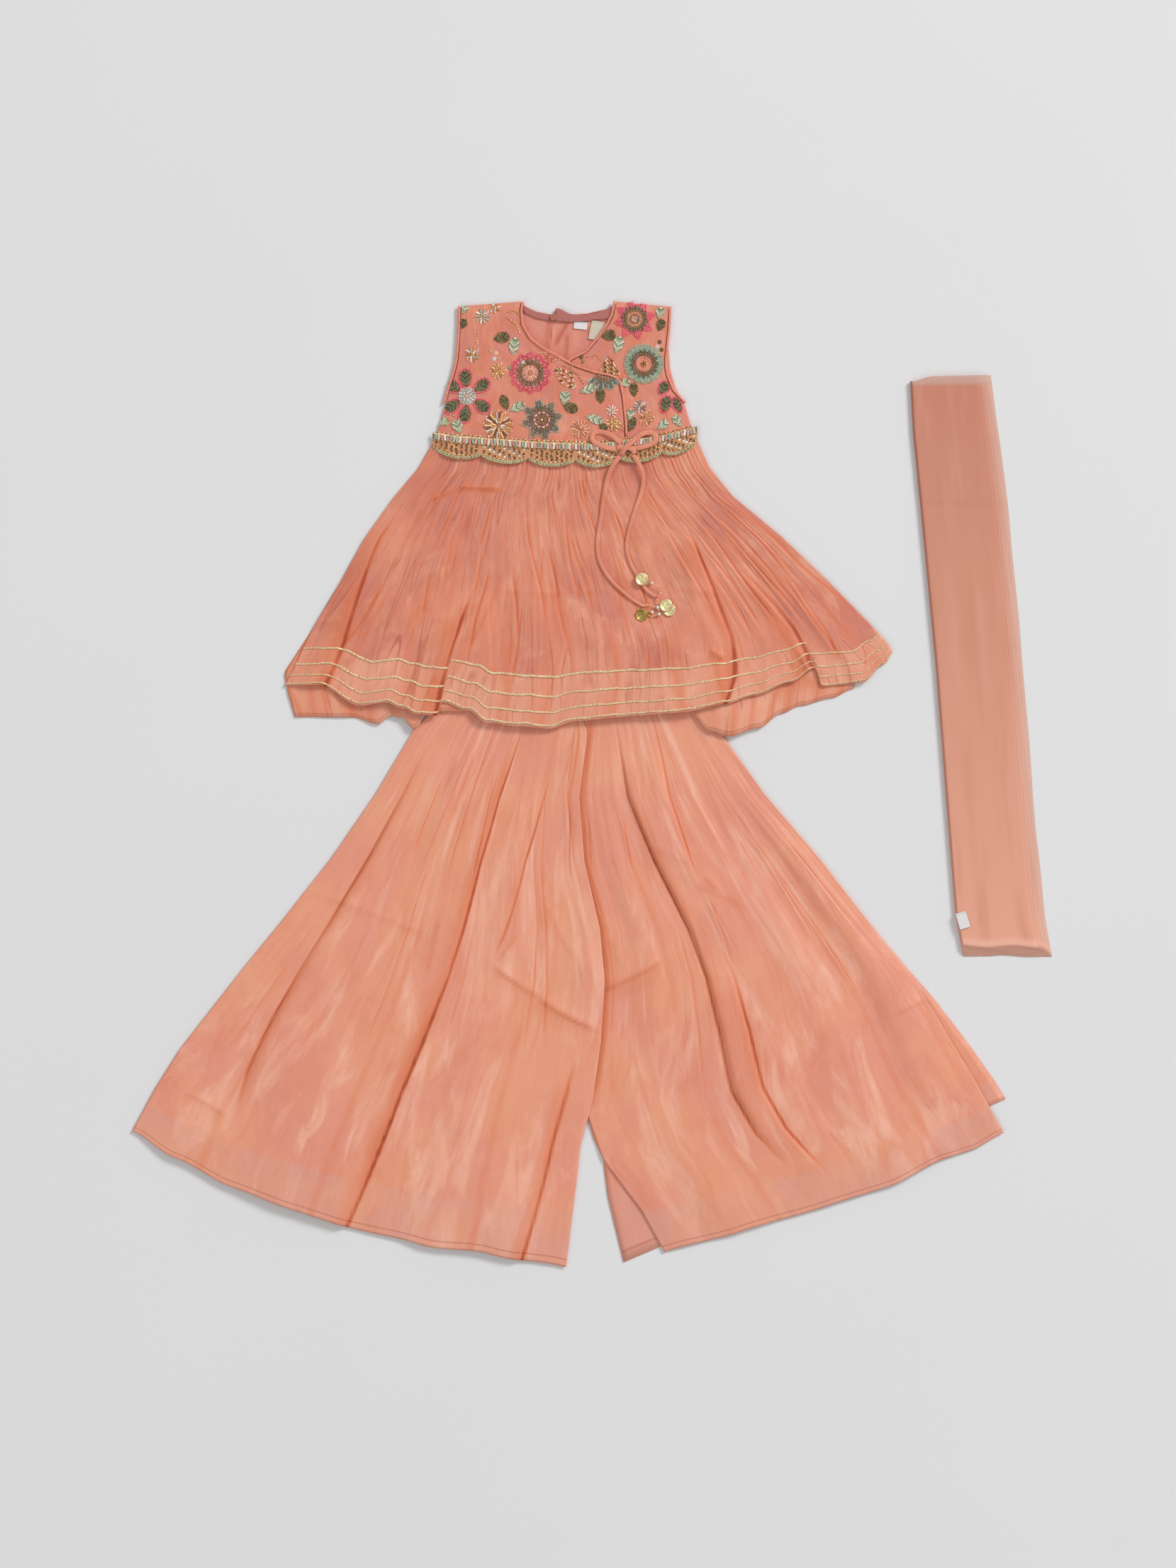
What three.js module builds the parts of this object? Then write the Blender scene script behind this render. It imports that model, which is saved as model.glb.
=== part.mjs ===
// Sharara suit laid flat: an angrakha kurti over sharara trousers, with a folded dupatta beside them.
// Millimetres. Left and right are as seen from above: +X runs right, +Y towards the neck, +Z up.
// Every cloth is a wall of rows of points, made from tables of its edges and its largest folds.

import * as THREE from 'three';

// Driving dimensions
const HALF_WIDTH = 454; // left trouser hem corner to the dupatta's right corner is twice this
const HALF_LENGTH = 477; // neck to the lowest trouser hem is twice this
const CLOTH = 1.2; // wall of every panel
const SEAM_GAP = 0.35; // between panels that are sewn edge to edge
const REST = 0.3; // under whatever lies on another piece
const BODICE_BASE = 2.6; // underside of the bodice fronts, clear of the labels
const OVERLAP_RISE = 1.5; // the crossing front climbs this much over the other one
const SKIRT_BASE = 2.0; // underside of the skirt front between its folds
const EDGE_BASE = 1.6; // underside of a front where it meets the back at a side
const TROUSER_BASE = 1.5; // underside of the trouser fronts
const WAIST_RISE = 4.4; // how high the trouser waist lifts the kurti
const WAIST_RAMP = 72; // length of cloth that falls from there to the surface
const BORDER_BASE = 5.6; // underside of the beaded waist border
const GATHERS = 48; // along the front of the skirt
const GATHER_RISE = 1.3;
const PIPING = 2.4;
const COIN_RADIUS = 6.2;

// Colours of the shot silk, trims and net
const SILK = 0xe1997a;
const SILK_DEEP = 0xd98a68;
const EMBROIDERED = 0xd58a70;
const MAUVE = 0xc58e86;
const GOLD = 0xd9b878;
const NET = 0xd9977c;
const WHITE = 0xf1ece6;
const CREAM = 0xe6d6c0;
const MINT = 0xb9cbb0;

const lerp = (a, b, t) => a + (b - a) * t;
const clamp01 = (t) => Math.min(1, Math.max(0, t));
const smooth = (t) => clamp01(t) ** 2 * (3 - 2 * clamp01(t));
const uneven = (i, seed) => 0.5 + 0.5 * Math.sin(i * 2.399 + seed * 1.7) * Math.cos(i * 0.731 + seed);

// Value of a table's column at v, straight between its rows
function column(table, key, name, at) {
  const next = Math.max(1, table.findIndex((row) => row[key] >= at - 1e-9));
  const [a, b] = [table[next - 1], table[next]];
  const t = b[key] > a[key] ? (at - a[key]) / (b[key] - a[key]) : 1;
  return Array.isArray(a[name]) ? a[name].map((value, k) => lerp(value, b[name][k], t)) : lerp(a[name], b[name], t);
}

// The waist seam and the stretch of kurti that the trousers lift

const WAIST_SEAM = [
  { x: -158, y: 339.5 },
  { x: -136, y: 335.7 },
  { x: -50, y: 329.4 },
  { x: 4, y: 328 },
  { x: 66, y: 335.7 },
  { x: 106, y: 346 },
];
const seamY = (x) => column(WAIST_SEAM, 'x', 'y', Math.min(106, Math.max(-158, x)));

const TROUSER_TOP = { y: 127, left: -114, right: 86 };
const TROUSER_AT_HEM = { y: 50, left: -172, right: 126 };

function trouserLift(x, y) {
  const down = (TROUSER_TOP.y - y) / (TROUSER_TOP.y - TROUSER_AT_HEM.y);
  const left = lerp(TROUSER_TOP.left, TROUSER_AT_HEM.left, Math.max(0, down));
  const right = lerp(TROUSER_TOP.right, TROUSER_AT_HEM.right, Math.max(0, down));
  const away = Math.hypot(Math.max(0, left - x, x - right), Math.max(0, y - TROUSER_TOP.y));
  return WAIST_RISE * smooth(1 - (away - 4) / WAIST_RAMP);
}

// Folds: start and end are places across the panel at the two ends of the fold, from and to are places down it.
// A steep fold drops sharply on its right side, or on its left side when steep is under 1.

function foldRise(folds, u, v) {
  let rise = 0;
  for (const fold of folds) {
    const along = (v - fold.from) / (fold.to - fold.from);
    if (along <= 0 || along > 1) continue;
    const across = (u - lerp(fold.start, fold.end, along)) / fold.width;
    const reach = across > 0 ? across * fold.steep : across / fold.steep;
    if (Math.abs(reach) >= 1) continue;
    const fade = smooth(along / 0.25) * (fold.to >= 1 ? 1 : smooth((1 - along) / 0.25));
    rise += fold.height * fade * 0.5 * (1 + Math.cos(Math.PI * reach));
  }
  return rise;
}

// A closed wall from rows of points. Each row runs from the left edge to the right edge and may hold more points
// than the next one, so gathers are fine at a seam and the cloth is plain below it.

function wall(rows) {
  const positions = [];
  const index = [];
  let count = 0;
  const ids = rows.map((row) => row.map((p) => {
    positions.push(p.x, p.y, p.top, p.x, p.y, p.under);
    count += 2;
    return { u: p.u, top: count - 2, under: count - 1 };
  }));
  const face = (a, b, c) => {
    index.push(a.top, b.top, c.top);
    index.push(a.under, c.under, b.under);
  };
  const rim = (a, b) => index.push(a.top, b.top, b.under, a.top, b.under, a.under);
  for (let r = 0; r + 1 < ids.length; r++) {
    const [high, low] = [ids[r], ids[r + 1]];
    let i = 0;
    let j = 0;
    while (i + 1 < high.length || j + 1 < low.length) {
      const stepHigh = j + 1 >= low.length || (i + 1 < high.length && high[i + 1].u <= low[j + 1].u);
      if (stepHigh) {
        face(high[i], low[j], high[i + 1]);
        i += 1;
      } else {
        face(low[j], low[j + 1], high[i]);
        j += 1;
      }
    }
    rim(low[0], high[0]);
    rim(high[high.length - 1], low[low.length - 1]);
  }
  const first = ids[0];
  const last = ids[ids.length - 1];
  for (let i = 0; i + 1 < first.length; i++) rim(first[i], first[i + 1]);
  for (let i = 0; i + 1 < last.length; i++) rim(last[i + 1], last[i]);
  const geometry = new THREE.BufferGeometry();
  geometry.setAttribute('position', new THREE.Float32BufferAttribute(positions, 3));
  geometry.setIndex(index);
  return geometry;
}

// Places along a row: even steps, with the sharp corners of a stepped hem added
function steps(count, corners = []) {
  const even = Array.from({ length: count + 1 }, (_, i) => i / count);
  return [...even, ...corners].sort((a, b) => a - b).filter((u, i, all) => i === 0 || u - all[i - 1] > 1e-4);
}

// A panel's point at u across and v down, from its edge table and its hem table
function onPanel(cut, u, v) {
  const left = column(cut.edges, 'v', 'left', v);
  const right = column(cut.edges, 'v', 'right', v);
  const x = lerp(left[0], right[0], u);
  const drop = cut.hem ? column(cut.hem, 'u', 'drop', u) * v ** cut.hemPower : 0;
  return { u, x, y: lerp(left[1], right[1], u) - drop };
}

function panelRow(cut, us, v, top, thickness = CLOTH) {
  return us.map((u) => {
    const p = onPanel(cut, u, v);
    const z = top(u, v, p);
    return { ...p, top: z, under: z - thickness };
  });
}

const suit = new THREE.Group();

function add(name, geometry, colour, roughness = 0.7, metalness = 0) {
  const mesh = new THREE.Mesh(geometry, new THREE.MeshStandardMaterial({ color: colour, roughness, metalness }));
  mesh.name = name;
  suit.add(mesh);
  return mesh;
}

function tube(points, thickness, stepCount, sides = 8) {
  const path = new THREE.CatmullRomCurve3(points.map((p) => new THREE.Vector3(...p)));
  const circle = new THREE.Shape();
  circle.absarc(0, 0, thickness / 2, 0, 2 * Math.PI);
  const section = new THREE.Shape(circle.getSpacedPoints(sides).slice(0, sides));
  return new THREE.ExtrudeGeometry(section, { steps: stepCount, bevelEnabled: false, extrudePath: path });
}

// Trousers

const LEFT_LEG = {
  hemPower: 2,
  edges: [
    { v: 0, left: [-114, 115], right: [-11.4, 115] },
    { v: 0.1, left: [-176, 53.5], right: [-11, 53.5] },
    { v: 0.2, left: [-213.5, -9.4], right: [-19.8, -12.9] },
    { v: 0.31, left: [-257, -72.4], right: [-14.9, -75.9] },
    { v: 0.42, left: [-306.6, -135.4], right: [0.5, -142.4] },
    { v: 0.5, left: [-341, -177.4], right: [5.4, -195] },
    { v: 0.6, left: [-374, -219.4], right: [1.6, -254.4] },
    { v: 0.72, left: [-406.7, -261.4], right: [-7.5, -319.5] },
    { v: 0.85, left: [-431, -300], right: [-15.4, -391] },
    { v: 1, left: [-HALF_WIDTH, -342.5], right: [-26.2, -HALF_LENGTH] },
  ],
  hem: [
    { u: 0, drop: 0 },
    { u: 0.1, drop: 12.6 },
    { u: 0.23, drop: 23.8 },
    { u: 0.36, drop: 27.3 },
    { u: 0.48, drop: 28 },
    { u: 0.66, drop: 22.4 },
    { u: 0.83, drop: 10 },
    { u: 1, drop: 0 },
  ],
  folds: [
    { from: 0.02, to: 1, start: 0.64, end: 0.48, width: 0.09, height: 3.4, steep: 2.6 },
    { from: 0.1, to: 0.86, start: 0.14, end: 0.2, width: 0.07, height: 2.2, steep: 0.5 },
    { from: 0.62, to: 1, start: 0.94, end: 0.88, width: 0.07, height: 2.2, steep: 2 },
    { from: 0.16, to: 0.48, start: 0.87, end: 0.66, width: 0.08, height: 1.8, steep: 1 },
    { from: 0.3, to: 1, start: 0.36, end: 0.32, width: 0.09, height: 2.0, steep: 1 },
    { from: 0.5, to: 1, start: 0.7, end: 0.69, width: 0.08, height: 2.4, steep: 0.6 },
    { from: 0.66, to: 1, start: 0.1, end: 0.09, width: 0.06, height: 1.6, steep: 1 },
    { from: 0.02, to: 0.3, start: 0.4, end: 0.36, width: 0.06, height: 1.4, steep: 1 },
  ],
};

const RIGHT_LEG = {
  hemPower: 2,
  edges: [
    { v: 0, left: [-11, 115], right: [86, 115] },
    { v: 0.1, left: [-10.6, 53.5], right: [124.6, 53.5] },
    { v: 0.2, left: [-19.4, -12.9], right: [169.4, -9.4] },
    { v: 0.31, left: [-14.5, -75.9], right: [223.3, -72.4] },
    { v: 0.42, left: [0.9, -142.4], right: [276.5, -141] },
    { v: 0.5, left: [5.8, -195], right: [308, -181.6] },
    { v: 0.6, left: [2, -254.4], right: [336, -222.9] },
    { v: 0.72, left: [-7.1, -319.5], right: [361.9, -267.1] },
    { v: 0.8, left: [10.5, -370], right: [378.7, -294.4] },
    { v: 0.9, left: [49, -421.4], right: [391.3, -317.5] },
    { v: 1, left: [71.3, -461.7], right: [406, -344] },
  ],
  hem: [
    { u: 0, drop: 0 },
    { u: 0.22, drop: 6 },
    { u: 0.49, drop: 11 },
    { u: 0.66, drop: 13 },
    { u: 0.82, drop: 5 },
    { u: 0.91, drop: 6 },
    { u: 1, drop: 0 },
  ],
  folds: [
    { from: 0.03, to: 0.92, start: 0.27, end: 0.46, width: 0.09, height: 3.0, steep: 0.45 },
    { from: 0.05, to: 0.36, start: 0.55, end: 0.44, width: 0.07, height: 1.8, steep: 1 },
    { from: 0.45, to: 1, start: 0.42, end: 0.51, width: 0.07, height: 2.6, steep: 2.4 },
    { from: 0.12, to: 0.94, start: 0.88, end: 0.9, width: 0.08, height: 2.4, steep: 0.6 },
    { from: 0.3, to: 1, start: 0.68, end: 0.72, width: 0.1, height: 2.2, steep: 1.6 },
    { from: 0.2, to: 0.66, start: 0.14, end: 0.2, width: 0.08, height: 1.8, steep: 1 },
    { from: 0.7, to: 1, start: 0.22, end: 0.25, width: 0.09, height: 2.0, steep: 1 },
  ],
};

const RIGHT_BACK = {
  hemPower: 1,
  edges: [
    { v: 0, left: [-11, 115], right: [85.5, 115] },
    { v: 0.1, left: [-10.6, 53.5], right: [124, 53.5] },
    { v: 0.2, left: [-19.4, -12.9], right: [168.9, -9.4] },
    { v: 0.31, left: [-14.5, -75.9], right: [222.8, -72.4] },
    { v: 0.42, left: [0.9, -142.4], right: [276, -140] },
    { v: 0.5, left: [5.8, -195], right: [308, -178.6] },
    { v: 0.6, left: [2, -254.4], right: [337.4, -212.4] },
    { v: 0.72, left: [-6.8, -319.5], right: [365.4, -248.8] },
    { v: 0.78, left: [0.7, -349], right: [376, -263] },
    { v: 0.85, left: [10.5, -370], right: [388.5, -281] },
    { v: 0.92, left: [15.4, -408.5], right: [399, -296] },
    { v: 1, left: [31, -472], right: [408, -311] },
  ],
};

const BACK_INSET = 0.006; // the left back lies just inside its front, as a share of the leg
const LEG_ROWS = [0, 0.1, 0.2, 0.31, 0.42, 0.5, 0.6, 0.72, 0.8, 0.9, 1];
const LEG_COLUMNS = 30;
const FLAT_COLUMNS = 6;

// The fronts stay low where the kurti lies on them, and their side edges come down to the backs
function trouserTop(cut) {
  return (u, v, p) => {
    const free = 0.28 + 0.72 * smooth((TROUSER_AT_HEM.y - 4 - p.y) / 40);
    const edge = smooth(Math.min(u, 1 - u) / 0.05);
    return TROUSER_BASE + CLOTH + free * edge * foldRise(cut.folds, u, v);
  };
}

for (const [side, cut] of [['left', LEFT_LEG], ['right', RIGHT_LEG]]) {
  const rows = LEG_ROWS.map((v) => panelRow(cut, steps(LEG_COLUMNS), v, trouserTop(cut)));
  add(`sharara_front_${side}`, wall(rows), SILK);
}
add('sharara_back_left', wall(LEG_ROWS.map((v) => {
  const inside = Math.min(v, 1 - BACK_INSET);
  const us = steps(FLAT_COLUMNS).map((u) => lerp(BACK_INSET, 1, u));
  return panelRow(LEFT_LEG, us, inside, () => CLOTH);
})), SILK_DEEP);
add('sharara_back_right', wall(RIGHT_BACK.edges.map(({ v }) => (
  panelRow(RIGHT_BACK, steps(FLAT_COLUMNS), v, () => CLOTH)
))), SILK_DEEP);

// The waistband is a flattened ring of casing
const BAND = { height: 11.7, thickness: 3.6, wall: 1.5 };

function ringOutline(target, width, height) {
  const [x, z] = [width / 2, height / 2];
  target.moveTo(-x + z, -z);
  target.lineTo(x - z, -z);
  target.absarc(x - z, 0, z, -Math.PI / 2, Math.PI / 2);
  target.lineTo(-x + z, z);
  target.absarc(-x + z, 0, z, Math.PI / 2, 1.5 * Math.PI);
  return target;
}
const bandWidth = TROUSER_TOP.right - TROUSER_TOP.left;
const bandShape = ringOutline(new THREE.Shape(), bandWidth, BAND.thickness);
bandShape.holes.push(ringOutline(new THREE.Path(), bandWidth - 2 * BAND.wall, BAND.thickness - 2 * BAND.wall));
const bandGeometry = new THREE.ExtrudeGeometry(bandShape, { depth: BAND.height, bevelEnabled: false, curveSegments: 4 });
bandGeometry.rotateX(Math.PI / 2);
const band = add('sharara_waistband', bandGeometry, SILK_DEEP);
band.position.set((TROUSER_TOP.left + TROUSER_TOP.right) / 2, TROUSER_TOP.y, BAND.thickness / 2);

// Skirt of the kurti

const SKIRT = {
  hemPower: 2,
  edges: [
    { v: 0, left: [-156, 338.6], right: [101, 344.2] },
    { v: 0.06, left: [-170.8, 312.5], right: [115.5, 312.5] },
    { v: 0.17, left: [-194.6, 284.5], right: [138, 284.5] },
    { v: 0.33, left: [-224.7, 242.5], right: [187, 244] },
    { v: 0.5, left: [-247.8, 200.5], right: [231, 202] },
    { v: 0.67, left: [-273, 158.5], right: [271, 161.3] },
    { v: 0.86, left: [-293.3, 118], right: [290.5, 140.3] },
    { v: 1, left: [-303.5, 96.9], right: [296.5, 129.8] },
  ],
  hem: [
    { u: 0, drop: 0 },
    { u: 0.055, drop: 1 },
    { u: 0.125, drop: 24 },
    { u: 0.166, drop: 22 },
    { u: 0.194, drop: 29 },
    { u: 0.22, drop: 36 },
    { u: 0.251, drop: 38 },
    { u: 0.259, drop: 25 },
    { u: 0.3, drop: 34 },
    { u: 0.334, drop: 48 },
    { u: 0.385, drop: 53 },
    { u: 0.436, drop: 57 },
    { u: 0.475, drop: 51 },
    { u: 0.575, drop: 49 },
    { u: 0.655, drop: 48 },
    { u: 0.723, drop: 42 },
    { u: 0.772, drop: 35 },
    { u: 0.832, drop: 24 },
    { u: 0.871, drop: 12 },
    { u: 0.885, drop: 30 },
    { u: 0.95, drop: 28 },
    { u: 0.986, drop: 11 },
    { u: 1, drop: 0 },
  ],
  folds: [
    { from: 0.2, to: 1, start: 0.03, end: 0.065, width: 0.035, height: 2.4, steep: 2.4 },
    { from: 0.5, to: 1, start: 0.262, end: 0.238, width: 0.045, height: 2.8, steep: 3 },
    { from: 0.25, to: 1, start: 0.79, end: 0.715, width: 0.05, height: 2.6, steep: 2.6 },
    { from: 0.42, to: 1, start: 0.84, end: 0.868, width: 0.045, height: 2.6, steep: 2.6 },
    { from: 0.3, to: 1, start: 0.4, end: 0.385, width: 0.05, height: 1.5, steep: 1 },
    { from: 0.55, to: 1, start: 0.5, end: 0.5, width: 0.05, height: 1.3, steep: 0.6 },
    { from: 0.5, to: 1, start: 0.14, end: 0.15, width: 0.045, height: 1.8, steep: 1 },
    { from: 0.6, to: 1, start: 0.32, end: 0.325, width: 0.035, height: 1.3, steep: 1 },
    { from: 0.6, to: 1, start: 0.6, end: 0.615, width: 0.045, height: 1.3, steep: 1 },
    { from: 0.15, to: 0.6, start: 0.2, end: 0.18, width: 0.05, height: 1.2, steep: 1 },
    { from: 0.5, to: 1, start: 0.93, end: 0.945, width: 0.035, height: 1.6, steep: 1 },
  ],
};

const SKIRT_BACK = {
  hemPower: 3,
  edges: [
    { v: 0, left: [-155.5, 338.6], right: [100.5, 344.2] },
    { v: 0.06, left: [-170.3, 312.5], right: [115, 312.5] },
    { v: 0.17, left: [-194.1, 284.5], right: [137.5, 284.5] },
    { v: 0.33, left: [-224.2, 242.5], right: [186.5, 244] },
    { v: 0.5, left: [-247.3, 200.5], right: [225, 202] },
    { v: 0.67, left: [-272.5, 158.5], right: [252, 161.3] },
    { v: 0.86, left: [-304, 110], right: [260, 122] },
    { v: 0.92, left: [-300, 88], right: [262, 112] },
    { v: 1, left: [-293.3, 66.1], right: [258, 94] },
  ],
  hem: [
    { u: 0, drop: 0 },
    { u: 0.1, drop: 3 },
    { u: 0.15, drop: 11 },
    { u: 0.17, drop: 3.5 },
    { u: 0.19, drop: 6 },
    { u: 0.214, drop: 18 },
    { u: 0.24, drop: 2 },
    { u: 0.5, drop: 10 },
    { u: 0.7, drop: 12 },
    { u: 0.745, drop: 36 },
    { u: 0.775, drop: 41 },
    { u: 0.83, drop: 34 },
    { u: 0.87, drop: 21 },
    { u: 0.905, drop: 14 },
    { u: 0.96, drop: 8 },
    { u: 1, drop: 0 },
  ],
};

const GATHERED_ROWS = [0, 0.04, 0.11];
const SKIRT_ROWS = [0.2, 0.32, 0.46, 0.6, 0.7];
const SKIRT_COLUMNS = 34;
const HEM_CORNERS = [0.251, 0.259, 0.871, 0.885];

// Each gather is a ridge between two valleys; it has its own height and runs out at its own length
function gatherRise(u, v) {
  const place = u * GATHERS;
  const own = Math.min(GATHERS - 1, Math.floor(place));
  const wave = 0.5 * (1 - Math.cos(2 * Math.PI * place));
  const length = 0.14 + 0.3 * uneven(own, 1);
  return GATHER_RISE * (0.55 + 0.45 * uneven(own, 2)) * wave * smooth(1 - v / length);
}

// The seam's own sag is put in here, and dies out a little below the seam
function skirtPoint(cut, u, v) {
  const p = onPanel(cut, u, v);
  const seam = onPanel(cut, u, 0);
  p.y += (seamY(seam.x) - SEAM_GAP - seam.y) * (1 - smooth(v / 0.2));
  return p;
}

function skirtTop(u, v, p) {
  const edge = smooth(Math.min(u, 1 - u) / 0.04);
  const base = lerp(EDGE_BASE, SKIRT_BASE + 0.6 * smooth(1 - v / 0.1), edge);
  const rise = foldRise(SKIRT.folds, u, v) + gatherRise(u, v);
  return trouserLift(p.x, p.y) + base + CLOTH + edge * rise;
}

function skirtRow(us, v, raise = 0, thickness = CLOTH) {
  return us.map((u) => {
    const p = skirtPoint(SKIRT, u, v);
    const top = skirtTop(u, v, p) + raise;
    return { ...p, top, under: top - thickness };
  });
}

// Four gota strips follow the front hem; the skirt has a row under each edge of each strip
const GOTA = [
  { name: 'gota_4', v: 0.785 },
  { name: 'gota_3', v: 0.858 },
  { name: 'gota_2', v: 0.93 },
  { name: 'gota_1', v: 0.985 },
];
const GOTA_HALF_WIDTH = 0.0055; // as a share of the skirt's length
const GOTA_THICKNESS = 0.6;
const gotaEdges = (v) => [v - GOTA_HALF_WIDTH, v + GOTA_HALF_WIDTH];
const skirtColumns = steps(SKIRT_COLUMNS, HEM_CORNERS);

add('skirt_front', wall([
  ...GATHERED_ROWS.map((v) => skirtRow(steps(2 * GATHERS), v)),
  ...[...SKIRT_ROWS, ...GOTA.flatMap(({ v }) => gotaEdges(v)), 1].map((v) => skirtRow(skirtColumns, v)),
]), SILK);

const BACK_ROWS = [0, 0.06, 0.17, 0.33, 0.42, 0.5, 0.58, 0.67, 0.76, 0.86, 0.92, 1];
const BACK_CORNERS = [0.15, 0.17, 0.19, 0.214, 0.24, 0.745, 0.775];
add('skirt_back', wall(BACK_ROWS.map((v) => steps(10, BACK_CORNERS).map((u) => {
  const p = skirtPoint(SKIRT_BACK, u, v);
  const under = trouserLift(p.x, p.y);
  return { ...p, top: under + CLOTH, under };
}))), SILK_DEEP);

for (const { name, v } of GOTA) {
  const us = skirtColumns.filter((u) => u > 0 && u < 1);
  const rows = gotaEdges(v).map((edge) => skirtRow(us, edge, REST + GOTA_THICKNESS, GOTA_THICKNESS));
  add(name, wall(rows), GOLD, 0.35, 0.6);
}

// Bodice

const OVER_FRONT = {
  edges: [
    { v: 0, left: [-129.5, 471.4], right: [-70, 476] },
    { v: 0.08, left: [-129.5, 459.5], right: [-72, 468] },
    { v: 0.17, left: [-130, 445.5], right: [-71, 453] },
    { v: 0.26, left: [-131, 430.1], right: [-62.5, 438] },
    { v: 0.33, left: [-132, 418.9], right: [-51, 429] },
    { v: 0.38, left: [-133.4, 411.9], right: [-38, 422] },
    { v: 0.43, left: [-135.5, 404.2], right: [-20, 411.5] },
    { v: 0.47, left: [-137.2, 397.9], right: [2, 404] },
    { v: 0.5, left: [-139, 393.8], right: [19, 401] },
    { v: 0.53, left: [-140.5, 388.8], right: [25.5, 397] },
    { v: 0.62, left: [-144.2, 375.5], right: [28.6, 382] },
    { v: 0.78, left: [-150.5, 354], right: [31.2, 357] },
    { v: 0.88, left: [-153, 346], right: [31.7, 346] },
    { v: 1, left: [-155, 339.2], right: [32, 331.5] },
  ],
};
const UNDER_FRONT = {
  edges: [
    { v: 0, left: [24, 476], right: [74.9, 471.1] },
    { v: 0.1, left: [21.2, 462.5], right: [74.4, 458.1] },
    { v: 0.2, left: [16.5, 453], right: [73.5, 445.5] },
    { v: 0.3, left: [5.8, 437.8], right: [72, 431.5] },
    { v: 0.38, left: [-5.8, 424.5], right: [70.6, 418.9] },
    { v: 0.45, left: [-20.3, 417.5], right: [71, 409.1] },
    { v: 0.5, left: [-25.2, 410.5], right: [72.8, 400.8] },
    { v: 0.6, left: [-25.2, 396.5], right: [78.6, 387.4] },
    { v: 0.68, left: [-25.2, 382.5], right: [90.3, 374.8] },
    { v: 0.8, left: [-25.2, 361.5], right: [95.9, 358] },
    { v: 1, left: [-25.2, 329], right: [101, 345] },
  ],
};
const BODICE_BACK = {
  edges: [
    { v: 0, left: [-129.5, 471], right: [75.2, 470.4] },
    { v: 0.3, left: [-130.5, 438.5], right: [75.2, 431.5] },
    { v: 0.5, left: [-135.8, 406.3], right: [77, 409.1] },
    { v: 0.62, left: [-140.7, 389.5], right: [82, 391.6] },
    { v: 0.72, left: [-144.2, 375.5], right: [91.2, 374.1] },
    { v: 0.85, left: [-150.5, 354], right: [96.6, 356.5] },
    { v: 1, left: [-155.5, 339], right: [101, 344.8] },
  ],
};
const BACK_NECK = [
  { u: 0, y: 471 },
  { u: 0.29, y: 476 },
  { u: 0.31, y: 471.5 },
  { u: 0.36, y: 466.5 },
  { u: 0.43, y: 463.6 },
  { u: 0.52, y: 462.6 },
  { u: 0.61, y: 463.6 },
  { u: 0.68, y: 467 },
  { u: 0.735, y: 472 },
  { u: 0.755, y: 476 },
  { u: 1, y: 470.4 },
];

// The crossing front climbs over the other one; side and shoulder edges come down to the back
const climbAt = (x) => OVERLAP_RISE * smooth((x + 62) / 30);

function bodiceTop(climbs, outerEdge) {
  return (u, v, p) => {
    const fromOuter = outerEdge === 'left' ? u : 1 - u;
    const edge = smooth(fromOuter / 0.16) * (v < 0.06 ? smooth(v / 0.06) : 1);
    return lerp(EDGE_BASE, BODICE_BASE, edge) + (climbs ? climbAt(p.x) : 0) + CLOTH;
  };
}

// The lower edge of a bodice panel lies on the waist seam
function bodiceRow(cut, count, v, top) {
  return panelRow(cut, steps(count), v, top).map((p) => (v < 1 ? p : { ...p, y: seamY(p.x) }));
}

const overTop = bodiceTop(true, 'left');
const underTop = bodiceTop(false, 'right');
const BODICE_COLUMNS = 14;
add('kurti_front_over', wall(OVER_FRONT.edges.map(({ v }) => (
  bodiceRow(OVER_FRONT, BODICE_COLUMNS, v, overTop)
))), EMBROIDERED);
add('kurti_front_under', wall(UNDER_FRONT.edges.map(({ v }) => (
  bodiceRow(UNDER_FRONT, BODICE_COLUMNS, v, underTop)
))), EMBROIDERED);
add('kurti_back', wall(BODICE_BACK.edges.map(({ v }) => (
  panelRow(BODICE_BACK, BACK_NECK.map((place) => place.u), v, () => CLOTH).map((p) => {
    if (v === 0) return { ...p, y: column(BACK_NECK, 'u', 'y', p.u) };
    return v < 1 ? p : { ...p, y: seamY(p.x) };
  })
))), SILK_DEEP);

// Neck and armhole finish: a cord of piping beside the panel's own edge points

const PIPING_OUT = PIPING / 2 + 0.75; // its centre line from the edge of the cloth
const ON_BACK = CLOTH + REST + PIPING / 2;
const ON_BAND = ON_BACK + REST + 1;

function edgePiping(name, cut, edge, outward, until, level, stepCount) {
  const line = cut.edges.filter((row) => row.v <= until).map((row) => row[edge]);
  const points = line.map(([x, y], i) => {
    const before = line[Math.max(0, i - 1)];
    const after = line[Math.min(line.length - 1, i + 1)];
    const [dx, dy] = [after[0] - before[0], after[1] - before[1]];
    const out = (outward * PIPING_OUT) / Math.hypot(dx, dy);
    return [x - dy * out, y + dx * out, level(x)];
  });
  add(name, tube(points, PIPING, stepCount), MAUVE);
}
edgePiping('neck_piping_over', OVER_FRONT, 'right', 1, 0.9, (x) => ON_BAND + climbAt(x), 24);
edgePiping('neck_piping_under', UNDER_FRONT, 'left', -1, 0.38, () => ON_BAND, 12);
edgePiping('armhole_piping_left', OVER_FRONT, 'left', -1, 0.62, () => ON_BACK, 12);
edgePiping('armhole_piping_right', UNDER_FRONT, 'right', 1, 0.68, () => ON_BACK, 14);

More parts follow.
